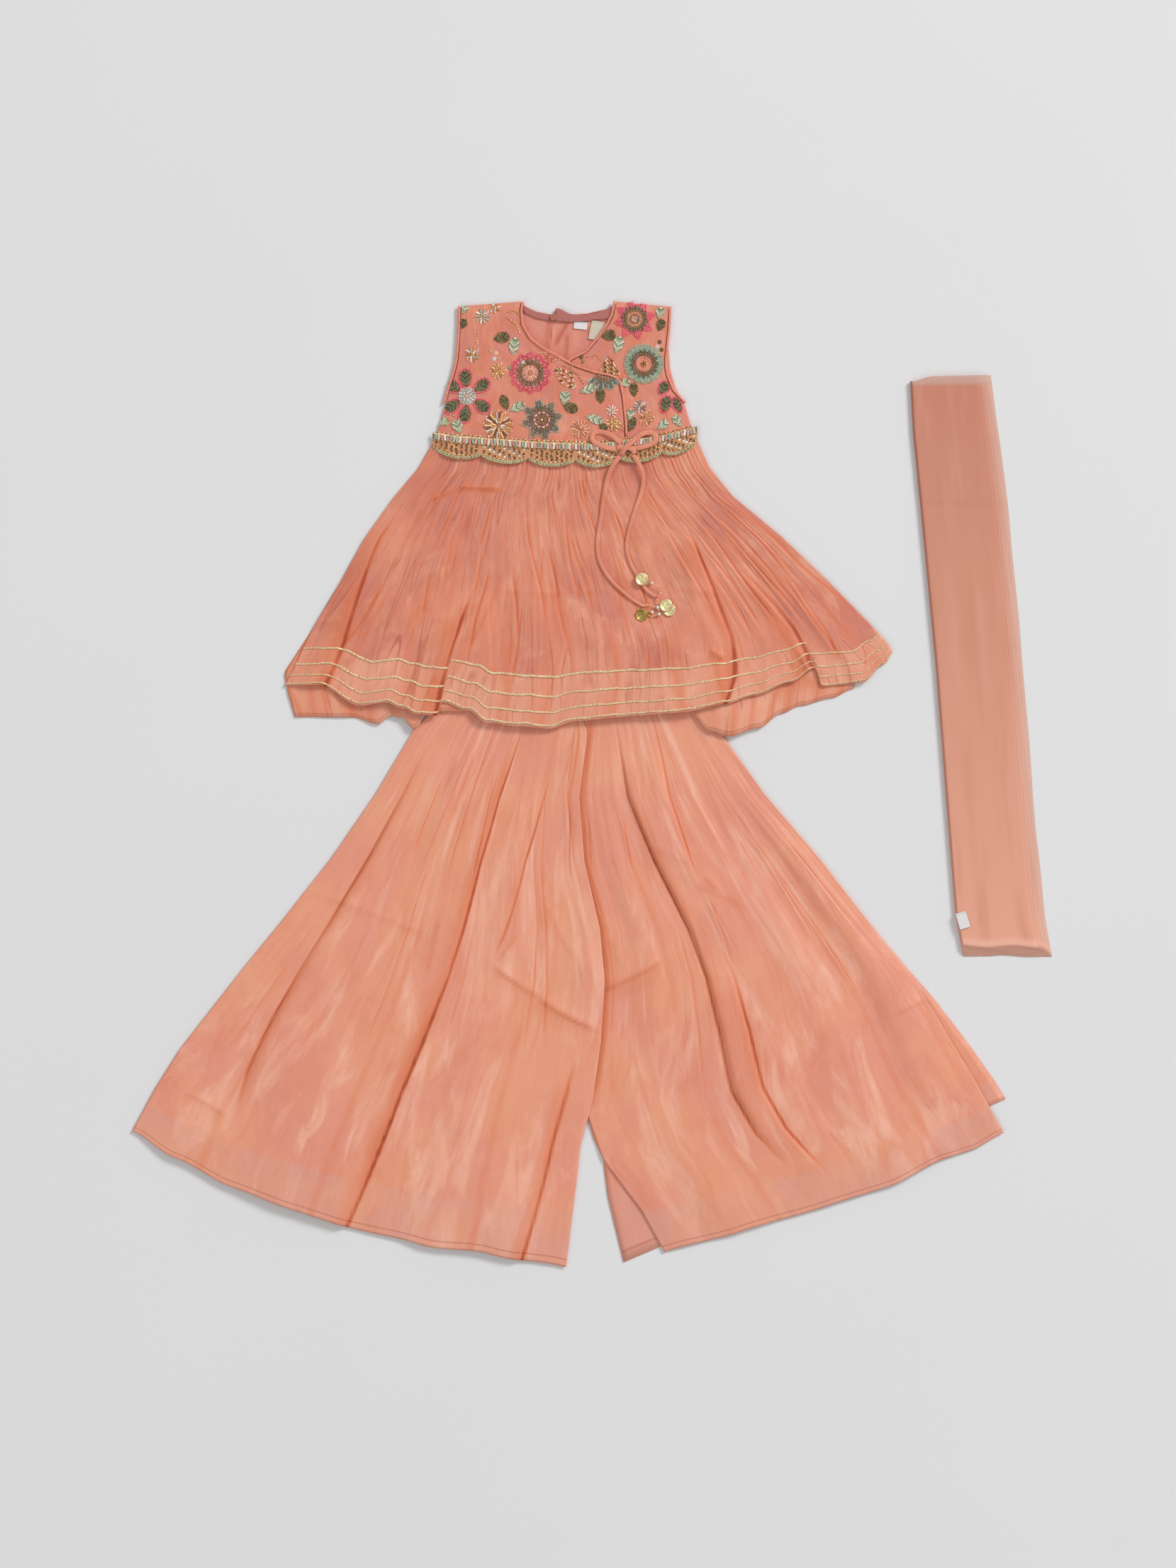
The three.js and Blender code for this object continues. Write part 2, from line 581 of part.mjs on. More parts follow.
const NECK_BAND_WIDTH = 5.6;
const NECK_BAND_THICKNESS = 1.0;
const neckEdge = BACK_NECK.filter((place) => place.u > 0.3 && place.u < 0.75);
const neckBandRow = (down) => neckEdge.map(({ u, y }) => {
  const top = CLOTH + REST + NECK_BAND_THICKNESS;
  return { u, x: lerp(-129.5, 75.2, u), y: y - down, top, under: CLOTH + REST };
});
add('back_neck_band', wall([neckBandRow(0.4), neckBandRow(0.4 + NECK_BAND_WIDTH)]), MAUVE);

// Labels, left bare, and the back button
const LABEL_THICKNESS = 0.7;
function label(name, x, y, width, height, z, colour) {
  const mesh = add(name, new THREE.BoxGeometry(width, height, LABEL_THICKNESS), colour, 0.9);
  mesh.position.set(x, y, z + REST + LABEL_THICKNESS / 2);
}
label('size_tag', -11.5, 452.6, 13.5, 7.6, CLOTH, WHITE);
label('neck_label', 9, 446.4, 23, 19, CLOTH, CREAM);

const BUTTON = { radius: 3.6, height: 1.8 };
const button = add('back_button', new THREE.CylinderGeometry(BUTTON.radius, BUTTON.radius, BUTTON.height, 12), MAUVE, 0.4);
button.rotation.x = Math.PI / 2;
button.position.set(-38.5, 460.4, CLOTH + REST + NECK_BAND_THICKNESS + REST + BUTTON.height / 2);

// Waist border: a raised band of beads along the seam with six scallops hanging from it
const SCALLOPS = [
  { x: -157.5, drop: 6 },
  { x: -110, drop: 8.5 },
  { x: -63.3, drop: 8.5 },
  { x: -16.5, drop: 8.5 },
  { x: 27, drop: 8.5 },
  { x: 68.3, drop: 8.5 },
  { x: 103.5, drop: 7 },
];
const SCALLOP_DEPTH = 8;
const BORDER_STEPS = 6; // columns in each scallop
const BORDER = { bandTop: 7.2, bandFoot: 0.4, bandRise: 0.7, thickness: 1.0 };

function borderRow(offset, raise) {
  const row = [];
  SCALLOPS.slice(1).forEach((end, s) => {
    const start = SCALLOPS[s];
    for (let i = s === 0 ? 0 : 1; i <= BORDER_STEPS; i++) {
      const t = i / BORDER_STEPS;
      const x = lerp(start.x, end.x, t);
      const scallop = lerp(start.drop, end.drop, t) + SCALLOP_DEPTH * Math.sqrt(Math.sin(Math.PI * t) + 1e-9);
      const y = seamY(x) + offset(scallop);
      const top = BORDER_BASE + BORDER.thickness + raise;
      row.push({ u: (s + t) / (SCALLOPS.length - 1), x, y, top, under: BORDER_BASE });
    }
  });
  return row;
}
add('waist_border', wall([
  borderRow(() => BORDER.bandTop, BORDER.bandRise),
  borderRow(() => BORDER.bandFoot, BORDER.bandRise),
  borderRow(() => BORDER.bandFoot - 0.5, 0),
  borderRow((scallop) => -scallop, 0),
]), MINT);

// Dupatta: one rounded solid whose long edges and ends show its layers

const DUPATTA = {
  edges: [
    { v: 0, left: [313.6, 401.4], right: [393.4, 403.5] },
    { v: 0.12, left: [316.4, 347.5], right: [402.5, 341.9] },
    { v: 0.25, left: [324.8, 263.6], right: [412.3, 260.1] },
    { v: 0.5, left: [338.8, 117.9], right: [425.6, 116.5] },
    { v: 0.75, left: [352.1, -51.4], right: [438.9, -51.4] },
    { v: 0.9, left: [358.4, -128.4], right: [447.3, -128.4] },
    { v: 1, left: [366, -169.8], right: [HALF_WIDTH, -170.5] },
  ],
};
const DUPATTA_HEIGHT = 5.2;
const DUPATTA_RING = [ // across: share of the width; in: millimetres drawn in from the left edge; z: share of the height
  { across: 0, in: 1.2, z: 0 },
  { across: 0, in: 0, z: 0.2 },
  { across: 0, in: 1, z: 0.4 },
  { across: 0, in: 2.6, z: 0.46 },
  { across: 0, in: 1.6, z: 0.66 },
  { across: 0, in: 4, z: 0.88 },
  { across: 0.3, in: 0, z: 1 },
  { across: 0.62, in: 0, z: 0.98 },
  { across: 0.83, in: 0, z: 0.9 },
  { across: 0.84, in: 0, z: 0.62 },
  { across: 0.93, in: 0, z: 0.56 },
  { across: 0.94, in: 0, z: 0.32 },
  { across: 0.995, in: 0, z: 0.26 },
  { across: 1, in: 0, z: 0 },
];
const DUPATTA_ROWS = [ // height: share of the full height at this place down the pad
  { v: 0, height: 0.5 },
  { v: 0.006, height: 0.85 },
  { v: 0.02, height: 1 },
  { v: 0.215, height: 0.94 },
  { v: 0.227, height: 0.78 },
  { v: 0.24, height: 0.94 },
  { v: 0.34, height: 1 },
  { v: 0.455, height: 0.95 },
  { v: 0.467, height: 0.8 },
  { v: 0.48, height: 0.95 },
  { v: 0.72, height: 1 },
  { v: 0.965, height: 0.94 },
  { v: 0.978, height: 0.7 },
  { v: 0.99, height: 0.66 },
  { v: 0.993, height: 0.36 },
  { v: 1, height: 0.32 },
];

function dupattaGeometry() {
  const positions = [];
  const index = [];
  const size = DUPATTA_RING.length;
  for (const { v, height } of DUPATTA_ROWS) {
    const left = column(DUPATTA.edges, 'v', 'left', v);
    const right = column(DUPATTA.edges, 'v', 'right', v);
    for (const point of DUPATTA_RING) {
      const x = lerp(left[0], right[0], point.across) + point.in;
      positions.push(x, lerp(left[1], right[1], point.across), point.z * height * DUPATTA_HEIGHT);
    }
  }
  for (let r = 0; r + 1 < DUPATTA_ROWS.length; r++) {
    for (let i = 0; i < size; i++) {
      const [a, b] = [r * size + i, r * size + ((i + 1) % size)];
      index.push(a, a + size, b + size, a, b + size, b);
    }
  }
  const foot = (DUPATTA_ROWS.length - 1) * size;
  const outline = DUPATTA_RING.map((point) => new THREE.Vector2(point.across * 80 + point.in, point.z * DUPATTA_HEIGHT));
  for (const [a, b, c] of THREE.ShapeUtils.triangulateShape(outline, [])) {
    index.push(a, c, b);
    index.push(foot + a, foot + b, foot + c);
  }
  const geometry = new THREE.BufferGeometry();
  geometry.setAttribute('position', new THREE.Float32BufferAttribute(positions, 3));
  geometry.setIndex(index);
  return geometry;
}
add('dupatta', dupattaGeometry(), NET, 0.9);
label('dupatta_tag', 367.5, -134, 10, 17, DUPATTA_HEIGHT, WHITE);

// The tie: a knot on the waist border, two loops, and two tails that end in coins and pearls.
// It is a flat tube of silk. Each route is a list of points, and the tapes stop just short of the knot.

const KNOT = { x: 33.3, y: 332.5, z: 10.1, radius: 4, wide: 1.15, tall: 1.3, deep: 0.62 };
const knot = add('dori_knot', new THREE.SphereGeometry(KNOT.radius, 12, 8), SILK);
knot.scale.set(KNOT.wide, KNOT.tall, KNOT.deep);
knot.position.set(KNOT.x, KNOT.y, KNOT.z);

const TIE = {
  dori_loop_left: {
    width: [4.8, 4.8],
    steps: 22,
    points: [
      [27.6, 335.6, 8.9],
      [21.3, 341.6, 8.6],
      [15.6, 345.0, 7.7],
      [10.0, 346.8, 6.9],
      [4.6, 346.8, 6.6],
      [0.8, 344.4, 6.9],
      [-0.2, 341.0, 7.8],
      [1.4, 337.4, 8.5],
      [5.3, 334.6, 8.5],
      [10.4, 332.4, 8.5],
      [16.0, 330.9, 8.5],
      [22.4, 330.0, 8.5],
      [28.0, 330.4, 8.6],
    ],
  },
  dori_loop_right: {
    width: [4.8, 4.8],
    steps: 20,
    points: [
      [39.6, 335.6, 8.9],
      [43.6, 340.4, 8.6],
      [48.4, 344.2, 8.4],
      [53.6, 346.2, 7.4],
      [58.4, 346.0, 7.4],
      [62.0, 343.4, 8.5],
      [62.6, 339.6, 8.5],
      [60.2, 336.2, 8.5],
      [55.4, 333.6, 8.5],
      [50.0, 332.0, 8.5],
      [44.6, 331.0, 8.5],
      [39.0, 330.8, 8.6],
    ],
  },
  dori_tail_left: {
    width: [5.2, 2.8],
    steps: 30,
    points: [
      [28.6, 325.4, 8.0],
      [26.0, 321.6, 7.9],
      [21.2, 315.5, 7.9],
      [17.2, 307.0, 7.1],
      [14.2, 297.0, 5.8],
      [11.2, 281.0, 5.0],
      [9.0, 265.0, 4.5],
      [6.6, 251.0, 4.4],
      [5.2, 238.0, 4.4],
      [5.6, 228.0, 4.4],
      [8.2, 218.0, 4.4],
      [13.0, 208.6, 4.5],
      [20.0, 199.5, 4.9],
      [28.0, 191.6, 5.4],
      [36.5, 184.4, 5.8],
      [44.0, 179.2, 6.1],
      [51.0, 175.3, 6.25],
    ],
  },
  dori_tail_right: {
    width: [4.6, 3],
    steps: 28,
    points: [
      [38.0, 325.8, 8.0],
      [42.0, 321.8, 7.9],
      [46.6, 314.0, 7.9],
      [49.8, 306.0, 7.1],
      [50.2, 296.0, 5.6],
      [47.6, 285.0, 5.0],
      [43.6, 274.0, 4.6],
      [39.6, 262.0, 4.5],
      [36.2, 250.0, 4.4],
      [34.0, 238.0, 4.4],
      [34.6, 228.0, 4.4],
      [38.2, 217.0, 4.4],
      [42.6, 208.6, 4.5],
      [47.4, 200.0, 4.85],
      [52.6, 192.4, 5.3],
      [58.6, 187.0, 5.6],
      [64.4, 184.2, 5.75],
    ],
  },
};
const TAPE_PROFILE = [ // across: from edge to edge; rise: half the thickness there
  { across: -1, rise: 0.4 },
  { across: -0.5, rise: 0.7 },
  { across: 0.5, rise: 0.7 },
  { across: 1, rise: 0.4 },
];

function tape({ points, width, steps: stepCount }) {
  const path = new THREE.CatmullRomCurve3(points.map((p) => new THREE.Vector3(...p)));
  const rows = [];
  for (let i = 0; i <= stepCount; i++) {
    const t = i / stepCount;
    const p = path.getPoint(t);
    const along = path.getTangent(t);
    const half = lerp(width[0], width[1], t) / 2 / Math.hypot(along.x, along.y);
    rows.push(TAPE_PROFILE.map(({ across, rise }) => ({
      u: (across + 1) / 2,
      x: p.x - along.y * half * across,
      y: p.y + along.x * half * across,
      top: p.z + rise,
      under: p.z - rise,
    })));
  }
  return wall(rows);
}
for (const [name, route] of Object.entries(TIE)) add(name, tape(route), SILK);

const COIN_THICKNESS = 0.9;
const COINS = [
  { name: 'coin_1', x: 48.8, y: 202, under: 6.9 },
  { name: 'coin_2', x: 48.8, y: 166.6, under: 6.2 },
  { name: 'coin_3', x: 72.7, y: 176, under: 7.7 },
  { name: 'coin_4', x: 76, y: 171.6, under: 6.45 },
];
for (const { name, x, y, under } of COINS) {
  const geometry = new THREE.CylinderGeometry(COIN_RADIUS, COIN_RADIUS, COIN_THICKNESS, 16);
  const coin = add(name, geometry, GOLD, 0.3, 0.9);
  coin.rotation.x = Math.PI / 2;
  coin.position.set(x, y, under + COIN_THICKNESS / 2);
}

const PEARL_RADIUS = 1.8;
const PEARLS = [
  { name: 'pearl_1', x: 58.5, y: 198.2, under: 3.9 },
  { name: 'pearl_2', x: 59.1, y: 169.4, under: 5.8 },
  { name: 'pearl_3', x: 64.5, y: 173.9, under: 5.6 },
  { name: 'pearl_4', x: 65.8, y: 167.4, under: 6.05 },
];
for (const { name, x, y, under } of PEARLS) {
  const pearl = add(name, new THREE.SphereGeometry(PEARL_RADIUS, 8, 6), WHITE, 0.25);
  pearl.position.set(x, y, under + PEARL_RADIUS);
}

export default suit;
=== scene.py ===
# %% [markdown]
# # A child's sharara suit, laid flat
# The suit has a sleeveless crossover kurti with a gathered skirt, wide flared trousers under it and a
# folded net stole beside them. The solid parts come from a CAD model, which is the fixed frame of this
# scene. Each cloth is made again here as a thin sheet that follows its solid, with the creases, gathers and
# beadwork that a solid can't hold.

# %% Load the frame
import math
import random

import bmesh
import bpy
from mathutils import Matrix, Vector, noise
from mathutils.bvhtree import BVHTree


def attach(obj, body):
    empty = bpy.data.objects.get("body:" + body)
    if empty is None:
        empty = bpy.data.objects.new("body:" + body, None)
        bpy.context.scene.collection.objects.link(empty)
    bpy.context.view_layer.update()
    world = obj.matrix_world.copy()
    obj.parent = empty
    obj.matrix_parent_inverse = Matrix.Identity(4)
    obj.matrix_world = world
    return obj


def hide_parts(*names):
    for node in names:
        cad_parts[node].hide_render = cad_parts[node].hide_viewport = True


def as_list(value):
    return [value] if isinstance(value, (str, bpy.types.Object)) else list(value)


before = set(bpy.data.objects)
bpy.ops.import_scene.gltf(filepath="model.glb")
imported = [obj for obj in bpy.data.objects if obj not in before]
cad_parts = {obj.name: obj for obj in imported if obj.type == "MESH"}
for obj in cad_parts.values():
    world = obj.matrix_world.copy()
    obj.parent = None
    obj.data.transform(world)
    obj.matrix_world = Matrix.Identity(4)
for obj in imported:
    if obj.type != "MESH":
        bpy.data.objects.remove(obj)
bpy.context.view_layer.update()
MM = 0.001
print("CAD nodes:", len(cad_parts))

# %% [markdown]
# ## Camera, light and floor
# The suit was photographed from straight above. A long lens far away keeps the suit's edges from leaning,
# and the width of the picture follows from the size of one picture element on the cloth, 0.7 mm. One large
# soft lamp at the upper right gives the faint shadow on the left of each piece. A weak one on the other
# side and the sky do the rest.

# %% Camera
PICTURE = (1659, 2212)
ON_CLOTH = 0.7 * MM
camera_height = 3.2
camera_left = 4.2 * MM
camera_data = bpy.data.cameras.new("camera")
camera_data.sensor_fit = "AUTO"
camera_data.sensor_width = 36
camera_data.lens = 36 * camera_height / (PICTURE[1] * ON_CLOTH)
camera = bpy.data.objects.new("camera", camera_data)
camera.location = (-camera_left, 0, camera_height)
bpy.context.scene.collection.objects.link(camera)
bpy.context.scene.camera = camera
print("lens", round(camera_data.lens, 1), "mm")

# %% Lamps and sky


def soft_lamp(name, place, size, power):
    data = bpy.data.lights.new(name, "AREA")
    data.shape = "SQUARE"
    data.size = size
    data.energy = power
    lamp = bpy.data.objects.new(name, data)
    lamp.location = place
    lamp.rotation_euler = (-Vector(place)).to_track_quat("-Z", "Y").to_euler()
    bpy.context.scene.collection.objects.link(lamp)


soft_lamp("key_lamp", (6.9, 6.6, 6.0), 3.0, 795)
soft_lamp("fill_lamp", (-4.2, -4.0, 5.2), 5, 92)
sky = bpy.data.worlds.new("sky")
sky.use_nodes = True
sky.node_tree.nodes["Background"].inputs["Color"].default_value = (1.0, 0.99, 0.98, 1)
sky.node_tree.nodes["Background"].inputs["Strength"].default_value = 0.475
bpy.context.scene.world = sky
bpy.context.scene.view_settings.view_transform = "Standard"
print("two lamps and a sky")

# %% [markdown]
# ## Finishes as expressions
# A finish is a small tree of nodes. Written node by node, it is hard to read. Here a number that varies
# over a surface is wrapped in a class whose operators add the Math nodes, so a mask can be written as 1 -
# valley * 0.5. Every other node comes from one method.

# %% Shader helper


class Varying:
    def __init__(self, finish, socket):
        self.finish = finish
        self.socket = socket

    def _math(self, operation, a, b):
        return self.finish.node("Math", {"operation": operation}, {0: a, 1: b})

    def __add__(self, other):
        return self._math("ADD", self, other)

    def __radd__(self, other):
        return self._math("ADD", other, self)

    def __sub__(self, other):
        return self._math("SUBTRACT", self, other)

    def __rsub__(self, other):
        return self._math("SUBTRACT", other, self)

    def __mul__(self, other):
        return self._math("MULTIPLY", self, other)

    def __rmul__(self, other):
        return self._math("MULTIPLY", other, self)

    def __pow__(self, other):
        return self._math("POWER", self, other)


class Finish:
    def __init__(self, name, **fixed):
        self.material = bpy.data.materials.new(name)
        self.material.use_nodes = True
        self.tree = self.material.node_tree
        self.shader = self.tree.nodes["Principled BSDF"]
        for key, value in fixed.items():
            self.shader.inputs[key.replace("_", " ")].default_value = value

    def node(self, kind, settings=None, sockets=None, out=0):
        made = self.tree.nodes.new("ShaderNode" + kind)
        for key, value in (settings or {}).items():
            if key == "stops":
                ramp = made.color_ramp
                while len(ramp.elements) < len(value):
                    ramp.elements.new(0.5)
                for element, (place, colour) in zip(ramp.elements, value):
                    element.position = place
                    element.color = colour
            else:
                setattr(made, key, value)
        for key, value in (sockets or {}).items():
            if isinstance(value, Varying):
                self.tree.links.new(value.socket, made.inputs[key])
            else:
                made.inputs[key].default_value = value
        return Varying(self, made.outputs[out])

    def feed(self, name, value):
        self.tree.links.new(value.socket, self.shader.inputs[name])

    def mix(self, a, b, factor):
        return self.node("Mix", {"data_type": "RGBA"}, {0: factor, 6: a, 7: b}, out=2)

    def place(self, uv=False, stretch=(1, 1, 1)):
        source = self.node("TexCoord", out="UV" if uv else "Object")
        return self.node("Mapping", {}, {"Vector": source, "Scale": stretch})

    def clouds(self, scale, where, detail=2.0, roughness=0.5):
        sockets = {"Vector": where, "Scale": scale, "Detail": detail, "Roughness": roughness}
        return self.node("TexNoise", {}, sockets, out="Fac")

    def swirls(self, stretch, twist):
        """Patches that are drawn out and twisted, as light is on satin. They read the piece's own map."""
        look = {"Scale": 1.0, "Detail": 4.0, "Roughness": 0.6, "Distortion": twist}
        return self.node("TexNoise", {}, {"Vector": self.place(True, stretch), **look}, out="Fac")

    def between(self, value, low, high):
        sockets = {"Value": value, "From Min": low, "From Max": high}
        return self.node("MapRange", {"clamp": True}, sockets)

    def mark(self, name):
        return self.node("Attribute", {"attribute_name": name}, out="Fac")

    def cover(self, colour, roughness, height, strength, distance):
        """Feeds the three that every finish varies: its colour, its roughness and the height of its bump."""
        self.feed("Base Color", colour)
        self.feed("Roughness", roughness)
        sockets = {"Height": height, "Strength": strength, "Distance": distance}
        self.feed("Normal", self.node("Bump", {}, sockets))


def dye(red, green, blue):
    """A colour as it is picked in a picture, from 0 to 255, as linear light."""
    def linear(value):
        value /= 255
        return value / 12.92 if value <= 0.04045 else ((value + 0.055) / 1.055) ** 2.4
    return (linear(red), linear(green), linear(blue), 1)


print("finishes can be written as expressions")

# %% [markdown]
# ## The floor
# A plain pale sheet of studio paper. It is a real surface, so it takes the suit's soft shadow.

# %% Floor
paper = Finish("studio_paper", Roughness=0.9)
paper_tone = paper.clouds(3.0, paper.place())
paper.feed("Base Color", paper.mix(dye(231, 231, 232), dye(234, 234, 235), paper_tone))
floor_shape = bmesh.new()
bmesh.ops.create_grid(floor_shape, x_segments=1, y_segments=1, size=4)
floor_mesh = bpy.data.meshes.new("floor")
floor_shape.to_mesh(floor_mesh)
floor_shape.free()
floor = bpy.data.objects.new("floor", floor_mesh)
floor.data.materials.append(paper.material)
bpy.context.scene.collection.objects.link(floor)
print("floor", tuple(round(side, 2) for side in floor.dimensions))

# %% [markdown]
# ## The tie
# A narrow bias tape of the same silk, tied in a bow on the waist, with two tails that end in coins and
# pearls. A tape could be a curve with a flat bevel, but a grid that is rolled into a flat tube along its
# route can also grow narrower along the way. Its length is that of the route, so it is real. The cords come
# first, because everything else is placed around them.

# %% Dori finish and a piece helper


def piece(name, data, finish, slot, *nodes):
    """Makes an object at the origin that rides on the suit and stands for the CAD nodes named."""
    made = bpy.data.objects.new(name, data)
    bpy.context.scene.collection.objects.link(made)
    made.data.materials.append(finish.material)
    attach(made, "root")
    if nodes:
        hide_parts(*nodes)
    return made


dori = Finish("dori_silk", Sheen_Weight=0.35, Sheen_Roughness=0.4)
dori_grain = dori.clouds(900, dori.place(stretch=(1, 0.3, 1)), detail=3)
dori_tone = dori.clouds(60, dori.place())
dori_colour = dori.mix(dye(234, 152, 124), dye(222, 132, 104), dori.between(dori_tone, 0.35, 0.7))
dori.cover(dori_colour, 0.5 + dori_grain * 0.2, dori_grain, 0.5, 0.0004)
print("dori finish")

# %% A soft tube along a line


def lerp(a, b, t):
    return a + (b - a) * t


def smooth_line(points, per=6):
    """Points along a smooth curve through the given ones, in millimetres."""
    full = [Vector(place) for place in (points[0], *points, points[-1])]
    line = []
    for a, b, c, d in zip(full, full[1:], full[2:], full[3:]):
        for step in range(per):
            t = step / per
            bend = (2 * a - 5 * b + 4 * c - d) * t * t + (3 * b - a - 3 * c + d) * t ** 3
            line.append(0.5 * (2 * b + (c - a) * t + bend))
    return line + [full[-1]]


def soft_tube(line, widths, height, sides=10):
    """A closed tube with its flat side up, from its first width to its second one, in millimetres."""
    shape = bmesh.new()
    rows = len(line) - 1
    bmesh.ops.create_grid(shape, x_segments=sides, y_segments=rows, size=0.5)
    map_layer = shape.loops.layers.uv.new("cloth")
    for face in shape.faces:
        face.smooth = True
        for corner in face.loops:
            corner[map_layer].uv = (corner.vert.co.x + 0.5, 0.5 - corner.vert.co.y)
    for vert in shape.verts:
        turn, run = 2 * math.pi * (vert.co.x + 0.5), 0.5 - vert.co.y
        i = round(run * rows)
        ahead = (line[min(rows, i + 1)] - line[max(0, i - 1)]).normalized()
        side = Vector((-ahead.y, ahead.x, 0)).normalized()
        up = math.copysign(abs(math.sin(turn)) ** 0.4, math.sin(turn))
        ring = side * math.cos(turn) * lerp(*widths, run) / 2 + ahead.cross(side) * up * height / 2
        vert.co = (line[i] + ring) * MM
    bmesh.ops.remove_doubles(shape, verts=shape.verts, dist=1e-7)
    bmesh.ops.holes_fill(shape, edges=[edge for edge in shape.edges if edge.is_boundary])
    bmesh.ops.recalc_face_normals(shape, faces=shape.faces)
    return shape


def as_mesh(name, shape):
    data = bpy.data.meshes.new(name)
    shape.to_mesh(data)
    shape.free()
    return data


def join(whole, shape):
    """Adds a shape to another one."""
    data = as_mesh("joined", shape)
    whole.from_mesh(data)
    bpy.data.meshes.remove(data)


print("points on a short line:", len(smooth_line([(0, 0, 0), (1, 0, 0), (2, 1, 0)])))

# %% Loops and tails
TAPE_THICK = 1.0
TIE = {
    "dori_loop_left": ((4.8, 4.8), [
        (27.6, 335.6, 8.9), (21.3, 341.6, 8.6), (15.6, 345, 7.7), (10, 346.8, 6.9), (4.6, 346.8, 6.6),
        (0.8, 344.4, 6.9), (-0.2, 341, 7.8), (1.4, 337.4, 8.5), (5.3, 334.6, 8.5), (10.4, 332.4, 8.5),
        (16, 330.9, 8.5), (22.4, 330, 8.5), (28, 330.4, 8.6)]),
    "dori_loop_right": ((4.8, 4.8), [
        (39.6, 335.6, 8.9), (43.6, 340.4, 8.6), (48.4, 344.2, 8.4), (53.6, 346.2, 7.4), (58.4, 346, 7.4),
        (62, 343.4, 8.5), (62.6, 339.6, 8.5), (60.2, 336.2, 8.5), (55.4, 333.6, 8.5), (50, 332, 8.5),
        (44.6, 331, 8.5), (39, 330.8, 8.6)]),
    "dori_tail_left": ((5.2, 2.8), [
        (28.6, 325.4, 8), (26, 321.6, 7.9), (21.2, 315.5, 7.9), (17.2, 307, 7.1), (14.2, 297, 5.8),
        (11.2, 281, 5), (9, 265, 4.5), (6.6, 251, 4.4), (5.2, 238, 4.4), (5.6, 228, 4.4), (8.2, 218, 4.4),
        (13, 208.6, 4.5), (20, 199.5, 4.9), (28, 191.6, 5.4), (36.5, 184.4, 5.8), (44, 179.2, 6.1),
        (51, 175.3, 6.25)]),
    "dori_tail_right": ((4.6, 3), [
        (38, 325.8, 8), (42, 321.8, 7.9), (46.6, 314, 7.9), (49.8, 306, 7.1), (50.2, 296, 5.6),
        (47.6, 285, 5),
        (43.6, 274, 4.6), (39.6, 262, 4.5), (36.2, 250, 4.4), (34, 238, 4.4), (34.6, 228, 4.4),
        (38.2, 217, 4.4), (42.6, 208.6, 4.5), (47.4, 200, 4.85), (52.6, 192.4, 5.3), (58.6, 187, 5.6),
        (64.4, 184.2, 5.75)]),
}
cords = {}
for name, (widths, route) in TIE.items():
    line = smooth_line(route)
    tape = soft_tube(line, widths, TAPE_THICK)
    made = piece(name + "_silk", as_mesh(name + "_silk", tape), dori, "dori", name)
    length = sum((b - a).length for a, b in zip(line, line[1:])) * MM
    cords[name] = (made, length, max(widths) * MM, [place * MM for place in line])
    print(name, round(length, 3), "m")

# %% Bow crossing
crossing = smooth_line(
    [(43.4, 340.6, 9.7), (39.4, 337, 10.7), (34.6, 332.8, 11.3), (30.6, 328.2, 10.6), (28.4, 324.6, 9.2)])
wrap = smooth_line(
    [(24.6, 331.2, 9.3), (29.4, 331.6, 10), (34, 331, 10.1), (39.2, 329.6, 9.9), (42, 325.4, 8.9)])
bow = soft_tube(crossing, (5.2, 5.2), 1.5)
join(bow, soft_tube(wrap, (4.8, 4.8), 1.7))
bow_knot = piece("dori_knot_silk", as_mesh("dori_knot_silk", bow), dori, "dori", "dori_knot")
print("bow knot", len(bow_knot.data.polygons), "faces")

# %% [markdown]
# ## Cloth as a map
# A garment panel is easiest to shape as a map: a flat grid of points, where u runs across the panel and v
# runs down it, is moved to where the cloth lies. The edges of each panel are a table of points down its two
# sides. The height adds up the lift of what lies below, the large folds and the fine crinkles. A number of
# painted shade goes with each point, so the finish can darken the cloth where it dips.

# %% Tables and smooth steps


def clamp(t):
    return min(1, max(0, t))


def smooth(t):
    t = clamp(t)
    return t * t * (3 - 2 * t)


def bell(gap, width):
    """1 in the middle, falling off smoothly to both sides."""
    return math.exp(-((gap / width) ** 2))


def beside(place, turn, along, out):
    """The place so far along a direction from another place, and so far out to its left."""
    cos, sin = math.cos(turn), math.sin(turn)
    return place[0] + along * cos - out * sin, place[1] + along * sin + out * cos


def polar(middle, reach, angle):
    return beside(middle, angle, reach, 0)


def read_table(table, at, soft=False):
    """The row of a table at a place that may fall between two of its rows, with straight or soft steps."""
    for before, after in zip(table, table[1:]):
        if at <= after[0]:
            break
    t = clamp((at - before[0]) / (after[0] - before[0]))
    t = smooth(t) if soft else t
    return [lerp(a, b, t) for a, b in zip(before[1:], after[1:])]


def ripple(u, v, across, down, seed):
    """Smooth noise from -1 to 1 that is stretched down the panel."""
    return noise.noise(Vector((u * across + seed * 7.3, v * down, seed * 3.1)))


def ridged(u, v, across, down, seed):
    """Sharp creases: 0 on the smooth parts, up to 1 along thin lines."""
    return max(0, 1 - abs(ripple(u, v, across, down, seed)) * 3.2)


print("a row between two rows:", read_table([(0, 0), (1, 10)], 0.25))

# %% Cloth maker
under_things = []


def height_at(x, y):
    """The top of the cloths made so far at a place seen from above, in metres."""
    tops = [tree.ray_cast(Vector((x, y, 0.05)), Vector((0, 0, -1)))[0] for tree in under_things]
    return max([hit.z for hit in tops if hit], default=0)


